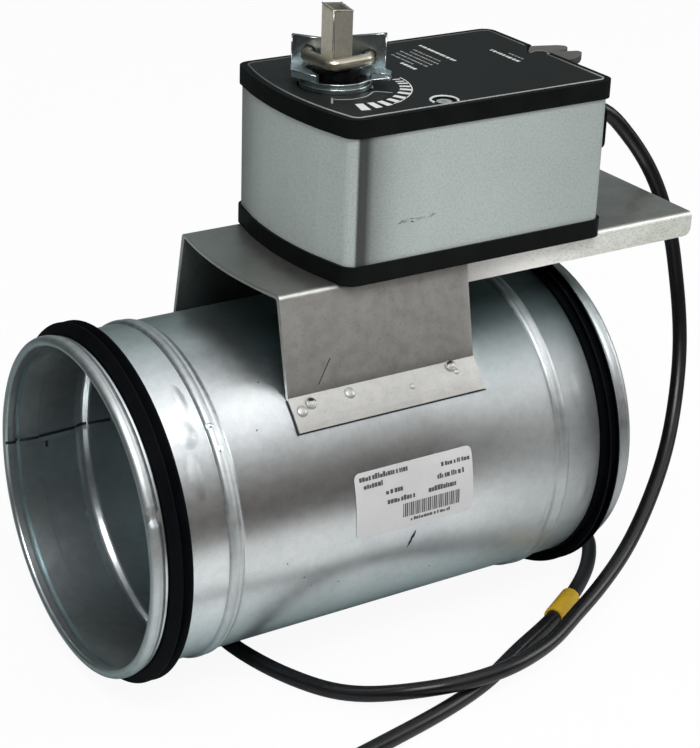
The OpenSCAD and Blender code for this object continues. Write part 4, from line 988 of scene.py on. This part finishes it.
def make_shaft_edges():
    """Bright burrs where the shaft was sawn off aslant, and a painted highlight down its corner
    with painted shade beside it.
    """
    # Height of each corner of the sawn end
    tops = {(101, -4): 171.63, (109, -4): 170.84, (101, 4): 172.76, (109, 4): 171.97}
    draw = random.Random(21)

    def burr(start, end, steps=9):
        line = []
        for i in range(steps + 1):
            t = i / steps
            x, y = (start[k] + (end[k] - start[k]) * t for k in (0, 1))
            z = tops[start] + (tops[end] - tops[start]) * t
            line.append((x, y, z - 0.12 + draw.uniform(-0.14, 0.1)))
        return thin_tube(line, 0.24)
    pale = [burr((101, -4), (109, -4)), burr((101, -4), (101, 4)), burr((109, -4), (109, 4)),
            # Down the shaft's corner: painted highlight
            thin_tube([(100.98, -3.93, z) for z in (171.5, 165, 158, 150.6)], 0.16)]
    gather("shaft_edges", pale, sawn_burr_and_highlight, closed=True, body="blade")
    # A dark line beside the corner: painted shade
    dark = [thin_tube([(101.42, -3.98, 170.8), (101.36, -3.98, 164), (101.45, -3.98, 157),
                       (101.38, -3.98, 150.6)], 0.12)]
    gather("shaft_edge_shade", dark, seam_and_shade_dark, closed=True, body="blade")


def make_screw_highlights():
    """A pale ridge round each cover screw's recess: a painted highlight of the recess edge."""
    radius = 4.9
    for side, name in ((-1, "near"), (1, "far")):
        line = []
        for k in range(-4, 20):
            a = math.radians(10 * k)
            line.append(Vector((SCREW.x + radius * math.cos(a),
                                side * (SCREW.y - radius * math.sin(a)))))
        gather("screw_recess_highlight_" + name, [ridge(line, 1.15, 0.45)], painted_rim_highlight, closed=True)


def make_clamp_edges():
    """Painted highlights as bright tubes on the edges of the clamp's jaw and feet, the collar's
    turned edges, and from the collar to a foot.
    """
    front, foot_z = 5.72, CLAMP_Z + 2.35
    jaw = [[in_clamp(u, front, CLAMP_Z + z) for u, z in line] for line in (
        ((-16.9, 1.5), (-16.9, 12.4)), ((-16.9, 12.4), (-2.6, 11.4)),
        ((2.6, 13.0), (16.0, 14.9), (16.9, 14.2)), ((16.9, 14.4), (16.9, 2.6)))]
    feet = [[in_clamp(u, v, foot_z) for u, v in line] for line in (
        ((-15.2, -4.5), (-5.5, -10.2)), ((-16.9, 5.0), (-15.3, -4.3)), ((13.4, -1), (19.6, -1)))]
    sweep = [(*round_shaft(12.25, a), CLAMP_Z + 0.1) for a in range(-150, -62, 6)] + [
        (113.0, -10.5, CLAMP_Z + 0.2), (114.8, -11.4, CLAMP_Z + 0.5),
        (117.0, -12.8, CLAMP_Z + 0.8), in_clamp(19.5, -1, CLAMP_Z + 0.9)]
    rings = [[(*round_shaft(r, 6 * k), z) for k in range(60)]
             for r, z in ((12.95, CLAMP_Z - 1.55), (12.05, CLAMP_Z + 0.02))]
    parts = [thin_tube(line, 0.22) for line in jaw + feet + [sweep]]
    parts += [thin_tube(line, 0.2, closed=True) for line in rings]
    gather("clamp_edges", parts, highlight_edge_metal, closed=True, body="blade")


make_shaft_edges()
make_screw_highlights()
make_clamp_edges()


# Studio


def make_world():
    """White behind the object, a soft even light on it, and a room for the metal to mirror."""
    world = bpy.data.worlds.new("studio")
    bpy.context.scene.world = world
    world.use_nodes = True
    tree = world.node_tree
    tree.nodes.clear()
    rays = add(tree, "ShaderNodeLightPath").outputs
    towards = add(tree, "ShaderNodeSeparateXYZ",
                  add(tree, "ShaderNodeTexCoord").outputs["Generated"]).outputs
    front = add(tree, "ShaderNodeMath", towards["Y"], -1.0, operation="MULTIPLY")
    rise = add(tree, "ShaderNodeMath", towards["Z"], front.outputs[0], operation="ARCTAN2")
    turn = add(tree, "ShaderNodeMath", rise.outputs[0], 0.5 / math.pi, 0.5,
               operation="MULTIPLY_ADD")
    # Degrees from the front's horizon upwards, and what the metal mirrors there
    stops = ((-180, (0.05, 0.07, 0.07)), (-8, (0.06, 0.05, 0.045)), (10, (0.06, 0.05, 0.045)),
             (22, (0.13, 0.12, 0.11)), (38, (0.33, 0.33, 0.33)), (52, (0.64, 0.64, 0.65)),
             (68, (1.0, 1.0, 1.0)), (84, (0.8, 0.8, 0.8)), (100, (0.52, 0.53, 0.54)),
             (116, (0.36, 0.38, 0.39)), (132, (0.24, 0.275, 0.275)), (146, (0.13, 0.16, 0.155)),
             (180, (0.06, 0.08, 0.08)))
    room = ramp(tree, turn.outputs[0], [(0.5 + degrees / 360, tone) for degrees, tone in stops])
    # The lamps stand over the middle; the room's ends, along the duct, are darker
    ends = add(tree, "ShaderNodeMapRange", towards["X"], -1.0)
    fade = ramp(tree, ends.outputs["Result"], [
        (0.5 + x / 2, tone) for x, tone in ((-1.0, 0.15), (-0.2, 0.2), (0.1, 0.65), (0.25, 1.0),
                                            (0.53, 1.0), (0.575, 0.62), (0.62, 0.35), (1.0, 0.2))])
    mirror = add(tree, "ShaderNodeBackground", times(tree, room, fade), 1.6)
    soft = add(tree, "ShaderNodeBackground", (1, 1, 1, 1), 0.55)
    white = add(tree, "ShaderNodeBackground", (1, 1, 1, 1), 1.0)
    lit = add(tree, "ShaderNodeMixShader", rays["Is Glossy Ray"], soft.outputs[0],
              mirror.outputs[0])
    seen = add(tree, "ShaderNodeMixShader", rays["Is Camera Ray"], lit.outputs[0],
               white.outputs[0])
    add(tree, "ShaderNodeOutputWorld", seen.outputs[0])


def area_light(name, place, aim, size, watts):
    """A soft lamp at a place, turned to where it aims."""
    data = bpy.data.lights.new(name, "AREA")
    data.shape = "RECTANGLE"
    data.size, data.size_y = size
    data.energy = watts
    lamp = bpy.data.objects.new(name, data)
    bpy.context.scene.collection.objects.link(lamp)
    direction = Vector(aim) - Vector(place)
    lamp.matrix_world = (Matrix.Translation(place)
                         @ direction.to_track_quat("-Z", "Y").to_matrix().to_4x4())


def make_floor():
    """White paper that the metal mirrors bright in front and dark far off, with a painted shadow
    under the duct.
    """
    material, tree, shader = new_material("paper")
    shader.inputs["Roughness"].default_value = 0.9
    shader.inputs["Specular IOR Level"].default_value = 0.0
    rays = add(tree, "ShaderNodeLightPath")
    # What the metal mirrors, by place: darker under the duct, a painted shadow
    mirrored = along(tree, "Y", -500.0, 500.0, [
        (-450, (0.07, 0.06, 0.055)), (-350, (0.09, 0.08, 0.07)), (-270, (0.5, 0.5, 0.49)),
        (-205, (0.75, 0.75, 0.74)), (-110, (0.75, 0.76, 0.76)), (-75, (0.68, 0.7, 0.7)),
        (-55, (0.5, 0.54, 0.54)), (-35, (0.33, 0.375, 0.375)), (0, (0.2, 0.245, 0.245)),
        (80, (0.17, 0.215, 0.215)), (200, (0.2, 0.24, 0.24))])
    mirrored = times(tree, mirrored, along(tree, "X", -500.0, 1000.0, [
        (-350, 0.3), (-200, 0.85), (-100, 1.0), (120, 1.0), (250, 0.75), (400, 0.5),
        (700, 0.4)]))
    tone = mixed(tree, (0.86, 0.86, 0.86), mirrored, rays.outputs["Is Glossy Ray"])
    tree.links.new(tone, shader.inputs["Base Color"])
    # To the camera the paper is nearly its own white, and keeps a little of the shadow
    glow = add(tree, "ShaderNodeEmission", Strength=1.0)
    share = add(tree, "ShaderNodeMath", rays.outputs["Is Camera Ray"], 0.93, operation="MULTIPLY")
    blend = add(tree, "ShaderNodeMixShader", share.outputs[0], shader.outputs[0], glow.outputs[0])
    tree.links.new(blend.outputs[0], tree.nodes["Material Output"].inputs["Surface"])
    bpy.ops.mesh.primitive_plane_add(size=8, location=(0.1, 0, FLOOR_Z))
    floor = bpy.context.object
    floor.name = "paper_floor"
    floor.data.materials.append(material)


make_world()
make_floor()
area_light("key", (-0.35, -0.9, 1.3), (0.1, 0, 0.05), (0.9, 0.5), 16)
area_light("side", (1.3, -0.5, 0.6), (0.12, 0, 0.05), (0.6, 0.6), 5)

bpy.context.scene.view_settings.view_transform = "Standard"
